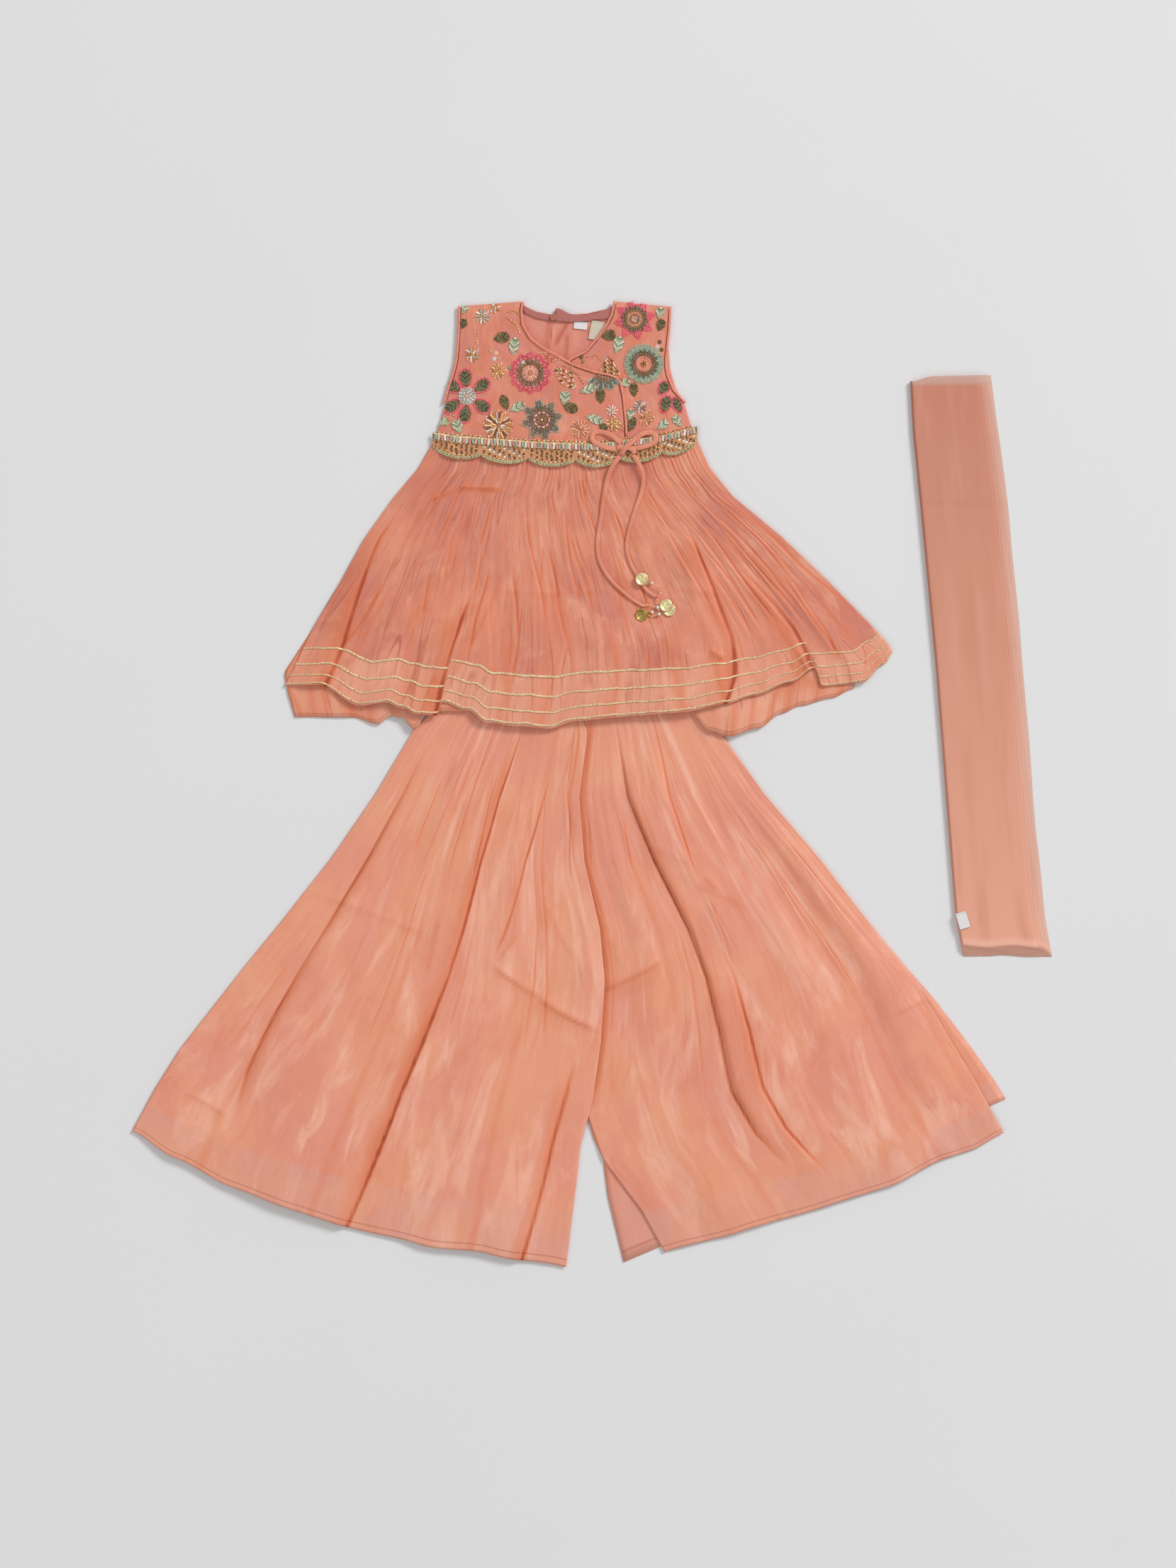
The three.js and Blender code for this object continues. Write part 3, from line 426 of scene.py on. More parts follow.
def cloth_shape(columns, rows, place, map_width=1):
    """A grid moved by place(u, v), which gives x, y, z in millimetres and how much darker it is painted
    there.
    """
    shape = bmesh.new()
    bmesh.ops.create_grid(shape, x_segments=columns, y_segments=rows, size=0.5)
    map_layer = shape.loops.layers.uv.new("cloth")
    crease = shape.verts.layers.float.new("crease")
    for face in shape.faces:
        face.smooth = True
        for corner in face.loops:
            corner[map_layer].uv = ((corner.vert.co.x + 0.5) * map_width, 0.5 - corner.vert.co.y)
    for vert in shape.verts:
        x, y, z, dip_shade = place(vert.co.x + 0.5, 0.5 - vert.co.y)
        vert.co = (x * MM, y * MM, z * MM)
        # On the cloths this darkening is painted shade; on the waist border it is the ground's darker band
        # and spots.
        vert[crease] = clamp(dip_shade)
    shape.normal_update()
    return shape


def sew(name, shape, thickness, finish, slot, *nodes):
    """Makes a piece of cloth of a shape and gives it its thickness on the far side from the normals."""
    area = sum(face.calc_area() for face in shape.faces)
    made = piece(name, as_mesh(name, shape), finish, slot, *nodes)
    wall = made.modifiers.new("wall", "SOLIDIFY")
    wall.thickness = thickness * MM
    wall.offset = -1
    print(f"{name}: {len(made.data.polygons)} faces, {area:.4f} m2")
    return made


def cloth(name, columns, rows, place, thickness, finish, slot, *nodes, carries=True):
    """A sheet on place(u, v). Beads can be set on it where it carries them."""
    shape = cloth_shape(columns, rows, place)
    if carries:
        under_things.append(BVHTree.FromBMesh(shape))
    return sew(name, shape, thickness, finish, slot, *nodes)


# %% [markdown]
# ## Shot silk
# The silk is woven of salmon and mauve threads, so it looks pink on one slope and orange on the next.
# Patches of the two colours, thin dark lines of painted shade down the crinkles, orange painted shade by
# the folds, streaks of painted highlight and a soft sheen give that look. The crinkles run with the panel, so
# they read its own map, and the patches read the place in space.

# %% Silk finishes


BEYOND_HEM = (2.0, (1, 1, 1, 1), 0)
# The orange of the painted shade beside the folds.
FOLD_SHADE_ORANGE = dye(222, 110, 58)
SILK_SHEEN = {
    "Sheen_Weight": 0.25, "Sheen_Roughness": 0.45, "Sheen_Tint": (1, 0.82, 0.75, 1), "Anisotropic": 0.3}


def shot_silk(name, warm, pink, highlight, deep, crinkles, lines, hem=BEYOND_HEM, fold_shade_tone=FOLD_SHADE_ORANGE):
    """A silk with so many crinkles across. hem says where its band starts, its tone and how strong it is."""
    silk = Finish(name, **SILK_SHEEN)
    hem_start, hem_tone, hem_strength = hem
    space = silk.place()
    down = silk.node("SeparateXYZ", {}, {0: silk.place(True)}, out="Y")
    patches = silk.between(silk.clouds(9, space, detail=4, roughness=0.6), 0.42, 0.6)
    cloud = silk.clouds(26, silk.place(stretch=(1, 0.5, 1)), detail=5, roughness=0.66)
    cloudy = silk.between(cloud, 0.4, 0.64)
    shine = silk.between(silk.swirls((13, 3.6, 1), 1.2), 0.5, 0.66)
    shade = silk.between(silk.swirls((17, 5, 3), 1.6), 0.53, 0.68)
    fine = silk.clouds(1, silk.place(True, (crinkles, 5, 1)), detail=3, roughness=0.6)
    finest = silk.clouds(1, silk.place(True, (crinkles * 4.5, 26, 1)), detail=2)
    slub = silk.clouds(1400, silk.place(stretch=(0.12, 1, 1)), detail=2)
    # Patches where the crinkles are deeper, with more painted shade in their lines.
    wear_and_shade = silk.between(silk.clouds(24, space, detail=3), 0.38, 0.62)
    contour = silk.clouds(1, silk.place(True, (crinkles * 0.2, 1.2, 1)), detail=1, roughness=0.5)
    wrinkle = silk.between((contour - 0.5) ** 2, 0.0003, 0.0) * wear_and_shade
    crease = silk.mark("crease")
    hem_stitch = silk.between((down - 0.988) ** 2, 0.000004, 0.0)
    # glow: orange painted shade by the folds and in the drawn-out shaded patches, also in faint clouds.
    glow = silk.mix(warm, fold_shade_tone, 0.75)
    base = silk.mix(warm, pink, patches)
    base = silk.mix(base, glow, cloudy * 0.2)
    # Painted highlight: drawn-out streaks of the light colour, as light falls on satin.
    base = silk.mix(base, highlight, shine * (1 - cloudy * 0.6) * 0.8)
    base = silk.mix(base, glow, shade * 0.3)
    in_hem = silk.between(down, hem_start, hem_start + 0.012)
    base = silk.mix(base, hem_tone, in_hem * (0.4 + patches * 0.6) * hem_strength)
    # Painted shade in the deep colour down the crinkles and wrinkles, then by the folds from the cloth's
    # mark.
    base = silk.mix(base, deep, silk.between(fine, 0.5, 0.36) * lines * (0.1 + wear_and_shade * 0.4))
    base = silk.mix(base, deep, wrinkle * lines ** 2 * 1.8)
    base = silk.mix(base, glow, silk.between(crease, 0.04, 0.36) * 0.85)
    # The hem stitching also gets a darker line.
    base = silk.mix(base, deep, silk.between(crease, 0.34, 0.95) + hem_stitch * 0.35)
    # Painted glints of light on the finest crinkles.
    base = silk.mix(base, highlight, silk.between(finest, 0.55, 0.75) * 0.22)
    relief = fine * lines - wrinkle * lines * 1.2 + finest * 0.22 + slub * 0.12 - hem_stitch * 0.6
    silk.cover(base, 0.5 + slub * 0.16 - shine * 0.08, relief, 0.5, 0.0011)
    return silk


# Each silk's fourth colour is its painted highlight, and its fifth the dark of its painted shade lines.
skirt_silk = shot_silk(
    "skirt_silk", dye(232, 150, 122), dye(213, 129, 112), dye(242, 170, 140), dye(170, 66, 34),
    crinkles=150, lines=0.5, hem=(0.785, dye(246, 178, 146), 0.7))
leg_silk = shot_silk(
    "trouser_silk", dye(240, 163, 130), dye(235, 153, 130), dye(252, 188, 163), dye(176, 70, 34),
    crinkles=70, lines=0.12, hem=(0.9, dye(222, 164, 150), 0.45))
bodice_silk = shot_silk(
    "bodice_silk", dye(227, 144, 119), dye(216, 132, 118), dye(238, 160, 134), dye(186, 86, 60),
    crinkles=30, lines=0.15)
satin = shot_silk(
    "lining_satin", dye(228, 146, 124), dye(222, 139, 124), dye(236, 158, 136), dye(188, 92, 72),
    crinkles=24, lines=0.1, fold_shade_tone=dye(210, 118, 96))
print("four silks")

# %% [markdown]
# ## Trousers
# Each leg is one wide panel gathered at the waist. Its long folds start close together under the kurti and
# run out to the hem, where the edge waves. A fold is a soft ridge: it rises slowly on one side and drops on
# the other. The backs lie flat on the table under the fronts.

# %% Folds


def fold_rise(folds, u, v, sharp):
    """Height and painted shade of a list of folds (from, to, start, end, width, height, steep) at a place.

    A steep of 2 or more, or of 0.5 or less, makes a pleat with a sharp foot on one side.
    """
    rise = dip_shade = 0
    for begin, end, at_begin, at_end, width, height, steep in folds:
        run = (v - begin) / (end - begin)
        if not 0 < run <= 1:
            continue
        middle = lerp(at_begin, at_end, run) + 0.006 * math.sin(9 * v + 40 * at_begin)
        across = (u - middle) / width
        fall = steep
        if steep >= 2:
            fall = steep * sharp
        elif steep <= 0.5:
            fall = steep / sharp
        reach = across * fall if across > 0 else across / fall
        fade = smooth(run / 0.25) * (1 if end >= 1 else smooth((1 - run) / 0.25))
        if abs(reach) < 1:
            rise += height * fade * 0.5 * (1 + math.cos(math.pi * reach))
        # Painted shade: a dark line at a pleat's foot and a band on its low side; a faint one by a soft fold.
        if fall != steep:
            foot = middle + (width / fall if fall > 1 else -width * fall)
            weight = 0.74 + 0.26 * math.sin(8 * v + 30 * at_begin) * math.sin(19 * v + 11 * at_end)
            weight *= min(1.4, 0.35 + height / 3.4)
            side = -1 if steep > 1 else 1
            dip_shade += 0.85 * weight * fade * bell(u - foot, 0.0036)
            spread = 0.012 + 0.007 * height if (u - foot) * side > 0 else 0.006
            dip_shade += 0.34 * weight * fade * bell(u - foot, spread)
        else:
            dip_shade += 0.16 * fade * bell(u - middle - width * 0.8, 0.012)
    return rise, dip_shade


def thin_lines(count, seed, reach, waist):
    """Places of long thin press lines: u at the top, drift, where they start and end, and how strong."""
    chance = random.Random(seed)
    lines = []
    for _ in range(count):
        start = chance.uniform(0, waist)
        end = min(1.02, start + chance.uniform(*reach))
        at, drift = chance.uniform(0.02, 0.98), chance.uniform(-0.03, 0.03)
        lines.append((at, drift, start, end, chance.uniform(0.25, 0.8)))
    return lines


# Thin press lines: a slight rise beside each, and a dark line of painted shade along it.
def line_dip(lines, u, v, width):
    rise = dip_shade = 0
    for at, drift, start, end, strength in lines:
        if not start < v < end:
            continue
        run = (v - start) / (end - start)
        gap = u - at - drift * run - 0.004 * math.sin(14 * v + 50 * at)
        if abs(gap) > 6 * width:
            continue
        fade = smooth(run / 0.2) * smooth((1 - run) / 0.3) * strength
        dip_shade += fade * bell(gap, width)
        rise += fade * (bell(gap + 2.2 * width, 2 * width) - bell(gap, width))
    return rise, dip_shade


print("a fold has a soft side and a steep side")

# %% Leg tables
LEFT_LEG = [
    (0, -114, 115, -11.4, 115), (0.1, -176, 53.5, -11, 53.5), (0.2, -213.5, -9.4, -19.8, -12.9),
    (0.31, -257, -72.4, -14.9, -75.9), (0.42, -306.6, -135.4, 0.5, -142.4), (0.5, -341, -177.4, 5.4, -195),
    (0.6, -374, -219.4, 1.6, -254.4), (0.72, -406.7, -261.4, -7.5, -319.5), (0.85, -431, -300, -15.4, -391),
    (1, -454, -342.5, -26.2, -477)]
LEFT_HEM = [
    (0, 0), (0.1, 12.6), (0.23, 23.8), (0.36, 27.3), (0.48, 28), (0.66, 22.4), (0.83, 10), (1, 0)]
LEFT_FOLDS = [
    (0.02, 1, 0.64, 0.48, 0.09, 3.6, 2.6), (0.1, 0.86, 0.14, 0.2, 0.07, 2.0, 0.5),
    (0.62, 1, 0.94, 0.88, 0.07, 2.4, 2), (0.16, 0.48, 0.87, 0.66, 0.08, 1.8, 2),
    (0.3, 1, 0.36, 0.32, 0.12, 1.6, 1), (0.5, 1, 0.7, 0.69, 0.12, 2.0, 0.6),
    (0.66, 1, 0.1, 0.09, 0.08, 1.4, 1), (0.02, 0.3, 0.4, 0.36, 0.06, 1.4, 1)]
LEFT_STROKES = [
    (-97.7, -178.5, -52.2, -207.2, 0.9, 4), (-52.2, -207.2, -1, -244, 1.1, 5),
    (-282, -107, -162, -146, 0.35, 4), (-402, -303, -362, -325, 0.5, 4), (-150, -130, -160, -190, 0.5, 5),
    (-70, -150, -96, -178, 0.5, 4), (-40, -120, -16, -176, 0.4, 5), (-70, -348, -118, -356, 0.3, 6)]
RIGHT_LEG = [
    (0, -11, 115, 86, 115), (0.1, -10.6, 53.5, 124.6, 53.5), (0.2, -19.4, -12.9, 169.4, -9.4),
    (0.31, -14.5, -75.9, 223.3, -72.4), (0.42, 0.9, -142.4, 276.5, -141), (0.5, 5.8, -195, 308, -181.6),
    (0.6, 2, -254.4, 336, -222.9), (0.72, -7.1, -319.5, 361.9, -267.1), (0.8, 10.5, -370, 378.7, -294.4),
    (0.9, 49, -421.4, 391.3, -317.5), (1, 71.3, -461.7, 406, -344)]
RIGHT_HEM = [(0, 0), (0.22, 6), (0.49, 11), (0.66, 13), (0.82, 5), (0.91, 6), (1, 0)]
RIGHT_FOLDS = [
    (0.03, 0.92, 0.27, 0.46, 0.09, 3.0, 0.45), (0.05, 0.36, 0.55, 0.44, 0.07, 1.8, 2),
    (0.45, 0.94, 0.42, 0.51, 0.07, 2.4, 2.4), (0.12, 0.94, 0.88, 0.9, 0.1, 2.2, 0.6),
    (0.3, 1, 0.68, 0.72, 0.13, 1.8, 1), (0.2, 0.66, 0.14, 0.2, 0.08, 1.6, 1),
    (0.7, 1, 0.22, 0.25, 0.12, 1.6, 1)]
RIGHT_STROKES = [
    (8.8, -203.7, 67.5, -170.8, 0.9, 5), (298, -226, 331, -209, 0.5, 3), (100, -96, 150, -120, 0.4, 5),
    (60, -60, 100, -78, 0.3, 5), (112, -90, 124, -104, 0.6, 4), (20, -150, 30, -180, 0.4, 5),
    (180, -250, 212, -330, 0.35, 7), (40, -260, 66, -330, 0.35, 5)]
RIGHT_BACK = [
    (0, -11, 115, 85.5, 115), (0.1, -10.6, 53.5, 124, 53.5), (0.2, -19.4, -12.9, 168.9, -9.4),
    (0.31, -14.5, -75.9, 222.8, -72.4), (0.42, 0.9, -142.4, 276, -140), (0.5, 5.8, -195, 308, -178.6),
    (0.6, 2, -254.4, 337.4, -212.4), (0.72, -6.8, -319.5, 365.4, -248.8), (0.78, 0.7, -349, 376, -263),
    (0.85, 10.5, -370, 388.5, -281), (0.92, 15.4, -408.5, 399, -296), (1, 31, -472, 408, -311)]


def panel_point(edges, u, v, hem=None, power=2):
    """Where u, v lies on a panel, seen from above, in millimetres. The hem's drop fades in down the panel."""
    left_x, left_y, right_x, right_y = read_table(edges, v)
    drop = read_table(hem, u, soft=True)[0] * v ** power if hem else 0
    return lerp(left_x, right_x, u), lerp(left_y, right_y, u) - drop


print("left leg at mid hem:", panel_point(LEFT_LEG, 0.5, 1, LEFT_HEM))

# %% Leg fronts and backs


def stroke_rise(strokes, x, y):
    """Creases that run across the panel, from one place to another: (x, y, x, y, height, width)."""
    rise = dip_shade = 0
    for ax, ay, bx, by, height, width in strokes:
        dx, dy = bx - ax, by - ay
        long = math.hypot(dx, dy)
        run = ((x - ax) * dx + (y - ay) * dy) / long ** 2
        if not -0.1 < run < 1.1:
            continue
        sway = min(2.5, 0.03 * long) * math.sin(3 * run + ax)
        gap = ((x - ax) * dy - (y - ay) * dx) / long + sway
        fade = smooth((run + 0.1) / 0.3) * smooth((1.1 - run) / 0.3)
        rise += height * fade * bell(gap, width)
        # Painted shade: a dark line beside the ridge and a wider, fainter shade below it.
        dip_shade += 0.26 * fade * height * bell(gap - 0.6 * width, 2.0)
        dip_shade += 0.13 * fade * height * bell(gap - 1.6 * width, 2.2 * width)
    return rise, dip_shade


def leg_front(edges, hem, folds, strokes, seed, overlap):
    """The place on a leg's front, and how much painted shade its creases get there."""
    lines = thin_lines(15, seed, reach=(0.1, 0.4), waist=0.4)

    def place(u, v):
        x, y = panel_point(edges, u, v, hem)
        free = 0.28 + 0.72 * smooth((46 - y) / 40)
        edge = smooth(min(u, 1 - u) / 0.05)
        rise, dip_shade = fold_rise(folds, u, v, sharp=2.2)
        lift, thin = line_dip(lines, u, v, 0.0035)
        gather = smooth((0.6 - v) / 0.4)
        crinkle = ridged(u, v, 18, 3.4, seed) * (0.15 + 0.55 * gather)
        soft = ripple(u, v, 8, 4.4, seed + 2) * 1.1 + ripple(u, v, 17, 7, seed + 6) * 0.45
        soft += ripple(u, v, 40, 7, seed + 4) * (0.04 + 0.24 * gather)
        across, stroke = stroke_rise(strokes, x, y)
        z = 2.7 + free * edge * (rise + 0.5 * crinkle + soft + 0.9 * lift + 0.4 + across)
        over = overlap * smooth((u - 0.9) / 0.1) * smooth((v - 0.06) / 0.06) * smooth((0.8 - v) / 0.1)
        # On the right leg, a painted shadow of the left leg's overlapping edge.
        under = 0 if overlap else smooth((v - 0.06) / 0.06) * smooth((0.75 - v) / 0.1)
        under *= bell(x - read_table(edges, v)[0] - 8, 4.5)
        dip_shade += thin * 0.6 + 0.08 * crinkle + stroke + 0.5 * under
        return x + 7 * over, y, z + 1.7 * over, dip_shade
    return place


def leg_back(edges, inset):
    def place(u, v):
        x, y = panel_point(edges, lerp(inset, 1, u), min(v, 1 - inset), LEFT_HEM if inset else None)
        # Faint painted shade along thin creases.
        return x, y, 1.2 + 0.12 * ripple(u, v, 12, 6, 8), 0.08 * ridged(u, v, 16, 5, 8)
    return place


left_place = leg_front(LEFT_LEG, LEFT_HEM, LEFT_FOLDS, LEFT_STROKES, 3, 1)
right_place = leg_front(RIGHT_LEG, RIGHT_HEM, RIGHT_FOLDS, RIGHT_STROKES, 5, 0)
left_front = cloth("trouser_front_left", 200, 210, left_place, 0.6, leg_silk, "silk", "sharara_front_left")
right_front = cloth(
    "trouser_front_right", 200, 210, right_place, 0.6, leg_silk, "silk", "sharara_front_right")
left_back = cloth(
    "trouser_back_left", 60, 60, leg_back(LEFT_LEG, 0.006), 1.0, leg_silk, "lining", "sharara_back_left")
right_back = cloth(
    "trouser_back_right", 60, 60, leg_back(RIGHT_BACK, 0), 1.0, leg_silk, "lining", "sharara_back_right")

# %% [markdown]
# ## Skirt of the kurti
# The skirt is gathered into the waist seam and opens to more than twice that width at its hem. The
# trousers' waist lifts it in the middle. Small gathers start at the seam, each with its own height and
# length, and a few of them become long pressed pleats that overlap at the hem.

# %% Skirt tables
WAIST_SEAM = [(-158, 339.5), (-136, 335.7), (-50, 329.4), (4, 328), (66, 335.7), (106, 346)]
SKIRT = [
    (0, -156, 338.6, 101, 344.2), (0.06, -170.8, 312.5, 115.5, 312.5), (0.17, -194.6, 284.5, 138, 284.5),
    (0.33, -224.7, 242.5, 187, 244), (0.5, -247.8, 200.5, 231, 202), (0.67, -273, 158.5, 271, 161.3),
    (0.86, -293.3, 118, 290.5, 140.3), (1, -303.5, 96.9, 296.5, 129.8)]
SKIRT_HEM = [
    (0, 0), (0.055, 1), (0.125, 24), (0.166, 22), (0.194, 29), (0.22, 36), (0.251, 38), (0.259, 25),
    (0.3, 34),
    (0.334, 48), (0.385, 53), (0.436, 57), (0.475, 51), (0.575, 49), (0.655, 48), (0.723, 42), (0.772, 35),
    (0.832, 24), (0.871, 12), (0.885, 30), (0.95, 28), (0.986, 11), (1, 0)]
SKIRT_FOLDS = [
    (0.2, 1, 0.03, 0.065, 0.035, 2.4, 2.4), (0.5, 1, 0.262, 0.238, 0.045, 2.8, 3),
    (0.25, 1, 0.79, 0.715, 0.05, 2.6, 2.6), (0.42, 1, 0.84, 0.868, 0.045, 2.6, 2.6),
    (0.3, 1, 0.4, 0.385, 0.05, 1.5, 1), (0.55, 1, 0.5, 0.5, 0.05, 1.3, 0.6),
    (0.5, 1, 0.14, 0.15, 0.045, 1.8, 1), (0.6, 1, 0.32, 0.325, 0.035, 1.3, 1),
    (0.6, 1, 0.6, 0.615, 0.045, 1.3, 1), (0.15, 0.6, 0.2, 0.18, 0.05, 1.2, 1),
    (0.5, 1, 0.93, 0.945, 0.035, 1.6, 1)]
SKIRT_BACK = [
    (0, -155.5, 338.6, 100.5, 344.2), (0.06, -170.3, 312.5, 115, 312.5), (0.17, -194.1, 284.5, 137.5, 284.5),
    (0.33, -224.2, 242.5, 186.5, 244), (0.5, -247.3, 200.5, 225, 202), (0.67, -272.5, 158.5, 252, 161.3),
    (0.86, -304, 110, 260, 122), (0.92, -300, 88, 262, 112), (1, -293.3, 66.1, 258, 94)]
SKIRT_BACK_HEM = [
    (0, 0), (0.1, 3), (0.15, 11), (0.17, 3.5), (0.19, 6), (0.214, 18), (0.24, 2), (0.5, 10), (0.7, 12),
    (0.745, 36), (0.775, 41), (0.83, 34), (0.87, 21), (0.905, 14), (0.96, 8), (1, 0)]


def seam_y(x):
    return read_table(WAIST_SEAM, min(106, max(-158, x)))[0]


def trouser_lift(x, y):
    """How high the trousers' waist lifts the kurti above the table at a place."""
    down = max(0, (127 - y) / 77)
    left, right = lerp(-114, -172, down), lerp(86, 126, down)
    away = math.hypot(max(0, left - x, x - right), max(0, y - 127))
    return 4.4 * smooth(1 - (away - 4) / 72)


def skirt_point(edges, u, v, hem, power=2):
    """A place on the skirt, whose upper edge follows the waist seam."""
    x, y = panel_point(edges, u, v, hem, power)
    top_x, top_y = panel_point(edges, u, 0, hem, power)
    return x, y + (seam_y(top_x) - 0.35 - top_y) * (1 - smooth(v / 0.2))


print("the waist lifts the skirt by", round(trouser_lift(0, 120), 1), "mm")

# %% Skirt front and back
skirt_lines = thin_lines(64, 11, reach=(0.12, 0.5), waist=0.5)
SKIRT_STROKES = [
    (-160, 281, -137, 291, 1.1, 1.5), (-137, 291, -89, 292.6, 1.3, 1.5), (-105, 165, -151, 67, 0.3, 4),
    (-82, 215.6, -121, 131.6, 0.4, 4), (86.5, 247.8, 132, 77, 0.35, 5), (153, 203, 229, 98.7, 0.5, 5),
    (116, 132, 130, 124, 0.9, 3), (-200, 190, -236, 120, 0.4, 4)]
GATHERS = 66
tail_places = [place for name in ("dori_tail_left", "dori_tail_right") for place in cords[name][3][::4]]


def under_tie(x, y):
    """0 where the tie or its coins lie on the skirt, 1 a little away from them."""
    gap = min(math.hypot(x - place.x / MM, y - place.y / MM) for place in tail_places)
    return smooth((gap - 3) / 9) * smooth((math.hypot(x - 62, y - 182) - 20) / 22)


def gather_rise(u, v):
    place = u * GATHERS + 0.8 * ripple(u, v, 16, 3, 21)
    own = math.floor(place)
    chance = 0.5 + 0.5 * math.sin(own * 2.399 + 1.7) * math.cos(own * 0.731 + 1)
    wave = 0.5 * (1 - math.cos(2 * math.pi * place))
    fade = smooth(1 - v / (0.05 + 0.3 * chance ** 2))
    return (0.4 + 0.6 * chance) * wave * fade, (1 - wave) ** 3 * fade * (0.3 + 0.7 * chance)


def skirt_height(u, v, x, y):
    edge = smooth(min(u, 1 - u) / 0.04) * under_tie(x, y)
    base = lerp(1.6, 2.0 + 0.6 * smooth(1 - v / 0.1), smooth(min(u, 1 - u) / 0.04))
    rise, dip_shade = fold_rise(SKIRT_FOLDS, u, v, sharp=2.4)
    gather, valley = gather_rise(u, v)
    lift, thin = line_dip(skirt_lines, u, v, 0.0028)
    crinkle = ridged(u, v, 34, 3.2, 2) * smooth(v / 0.1)
    soft = ripple(u, v, 60, 6, 6) * 0.22 + ripple(u, v, 14, 5, 9) * 0.7
    across, stroke = stroke_rise(SKIRT_STROKES, x, y)
    ends = smooth((x + 105) / 20) * smooth((135 - x) / 20)
    press = 0.6 * ends * bell(y - 190 - 3 * math.sin(x / 30), 2.6)
    relief = rise + gather + 0.4 * crinkle + soft + 0.8 * lift + press + across
    # Painted shade at the folds, in the gathers' valleys, along press lines and crinkles, on the press ridge
    # and by the strokes.
    mark = dip_shade + 0.45 * valley + 0.7 * thin + 0.12 * crinkle + 0.2 * press + stroke
    return trouser_lift(x, y) + base + 1.2 + edge * relief, mark


def skirt_front_place(u, v):
    x, y = skirt_point(SKIRT, u, v, SKIRT_HEM)
    return x, y, *skirt_height(u, v, x, y)


def skirt_back_place(u, v):
    x, y = skirt_point(SKIRT_BACK, u, v, SKIRT_BACK_HEM, 3)
    wave = 0.5 * smooth((v - 0.6) / 0.3) * ripple(u, 0.2 * v, 34, 2, 3)
    # Painted shade along thin creases and in the troughs of the waves.
    return x, y, trouser_lift(x, y) + 1.5 + wave, 0.3 * ridged(u, v, 24, 3, 12) + 0.3 * clamp(-wave)


skirt_back = cloth("kurti_skirt_back", 220, 60, skirt_back_place, 0.9, skirt_silk, "lining", "skirt_back")
skirt_front = cloth("kurti_skirt_front", 400, 84, skirt_front_place, 0.6, skirt_silk, "silk", "skirt_front")

# %% [markdown]
# ## Bodice
# The front crosses over: its left half runs from the shoulder to the right of the waist and lies on the
# right half. The back shows inside the neck as a plain satin with a short slit, a bias band round the neck
# and two bare labels.

# %% Bodice tables
OVER_FRONT = [
    (0, -129.5, 471.4, -70, 476), (0.08, -129.5, 459.5, -72, 468), (0.17, -130, 445.5, -71, 453),
    (0.26, -131, 430.1, -62.5, 438), (0.33, -132, 418.9, -51, 429), (0.38, -133.4, 411.9, -38, 422),
    (0.43, -135.5, 404.2, -20, 411.5), (0.47, -137.2, 397.9, 2, 404), (0.5, -139, 393.8, 19, 401),
    (0.53, -140.5, 388.8, 25.5, 397), (0.62, -144.2, 375.5, 28.6, 382), (0.78, -150.5, 354, 31.2, 357),
    (0.88, -153, 346, 31.7, 346), (1, -155, 339.2, 32, 331.5)]
UNDER_FRONT = [
    (0, 24, 476, 74.9, 471.1), (0.1, 21.2, 462.5, 74.4, 458.1), (0.2, 16.5, 453, 73.5, 445.5),
    (0.3, 5.8, 437.8, 72, 431.5), (0.38, -5.8, 424.5, 70.6, 418.9), (0.45, -20.3, 417.5, 71, 409.1),
    (0.5, -25.2, 410.5, 72.8, 400.8), (0.6, -25.2, 396.5, 78.6, 387.4), (0.68, -25.2, 382.5, 90.3, 374.8),
    (0.8, -25.2, 361.5, 95.9, 358), (1, -25.2, 329, 101, 345)]
BODICE_BACK = [
    (0, -129.5, 471, 75.2, 470.4), (0.3, -130.5, 438.5, 75.2, 431.5), (0.5, -135.8, 406.3, 77, 409.1),
    (0.62, -140.7, 389.5, 82, 391.6), (0.72, -144.2, 375.5, 91.2, 374.1), (0.85, -150.5, 354, 96.6, 356.5),
    (1, -155.5, 339, 101, 344.8)]
BACK_NECK = [
    (0, 471), (0.29, 476), (0.31, 471.5), (0.36, 466.5), (0.43, 463.6), (0.52, 462.6), (0.61, 463.6),
    (0.68, 467), (0.735, 472), (0.755, 476), (1, 470.4)]


def climb(x):
    """The crossing front climbs over the other one."""
    return 1.5 * smooth((x + 62) / 30)


def to_seam(x, y, v):
    """Brings the lower edge of a bodice panel to the waist seam."""
    return lerp(y, seam_y(x), smooth((v - 0.97) / 0.03))


def bodice_place(edges, crosses, seed):
    """Half a front. The one that crosses over climbs and has its armhole on the left."""
    def place(u, v):
        x, y = panel_point(edges, u, v)
        y = to_seam(x, y, v)
        edge = smooth((u if crosses else 1 - u) / 0.16) * smooth(v / 0.06)
        wrinkle = ridged(u + v * 0.4, v, 5, 5, seed) * edge
        soft = edge * 0.35 * ripple(u, v, 7, 6, seed) + 0.25 * wrinkle
        z = lerp(1.6, 2.6, edge) + (climb(x) if crosses else 0) + 1.2 + soft
        # Painted shade along the wrinkles.
        return x, y, z, 0.2 * wrinkle
    return place


BACK_STROKES = [
    (-22, 455.7, -35.4, 431.2, 1.2, 1.6), (-40.3, 459.2, -43.8, 427.7, 0.8, 1.6),
    (-24.2, 445, -24.2, 418.6, 1.0, 1.4), (-5.3, 452, 0.4, 438, 0.9, 1.4), (-60, 452, -66, 436, 0.4, 2)]


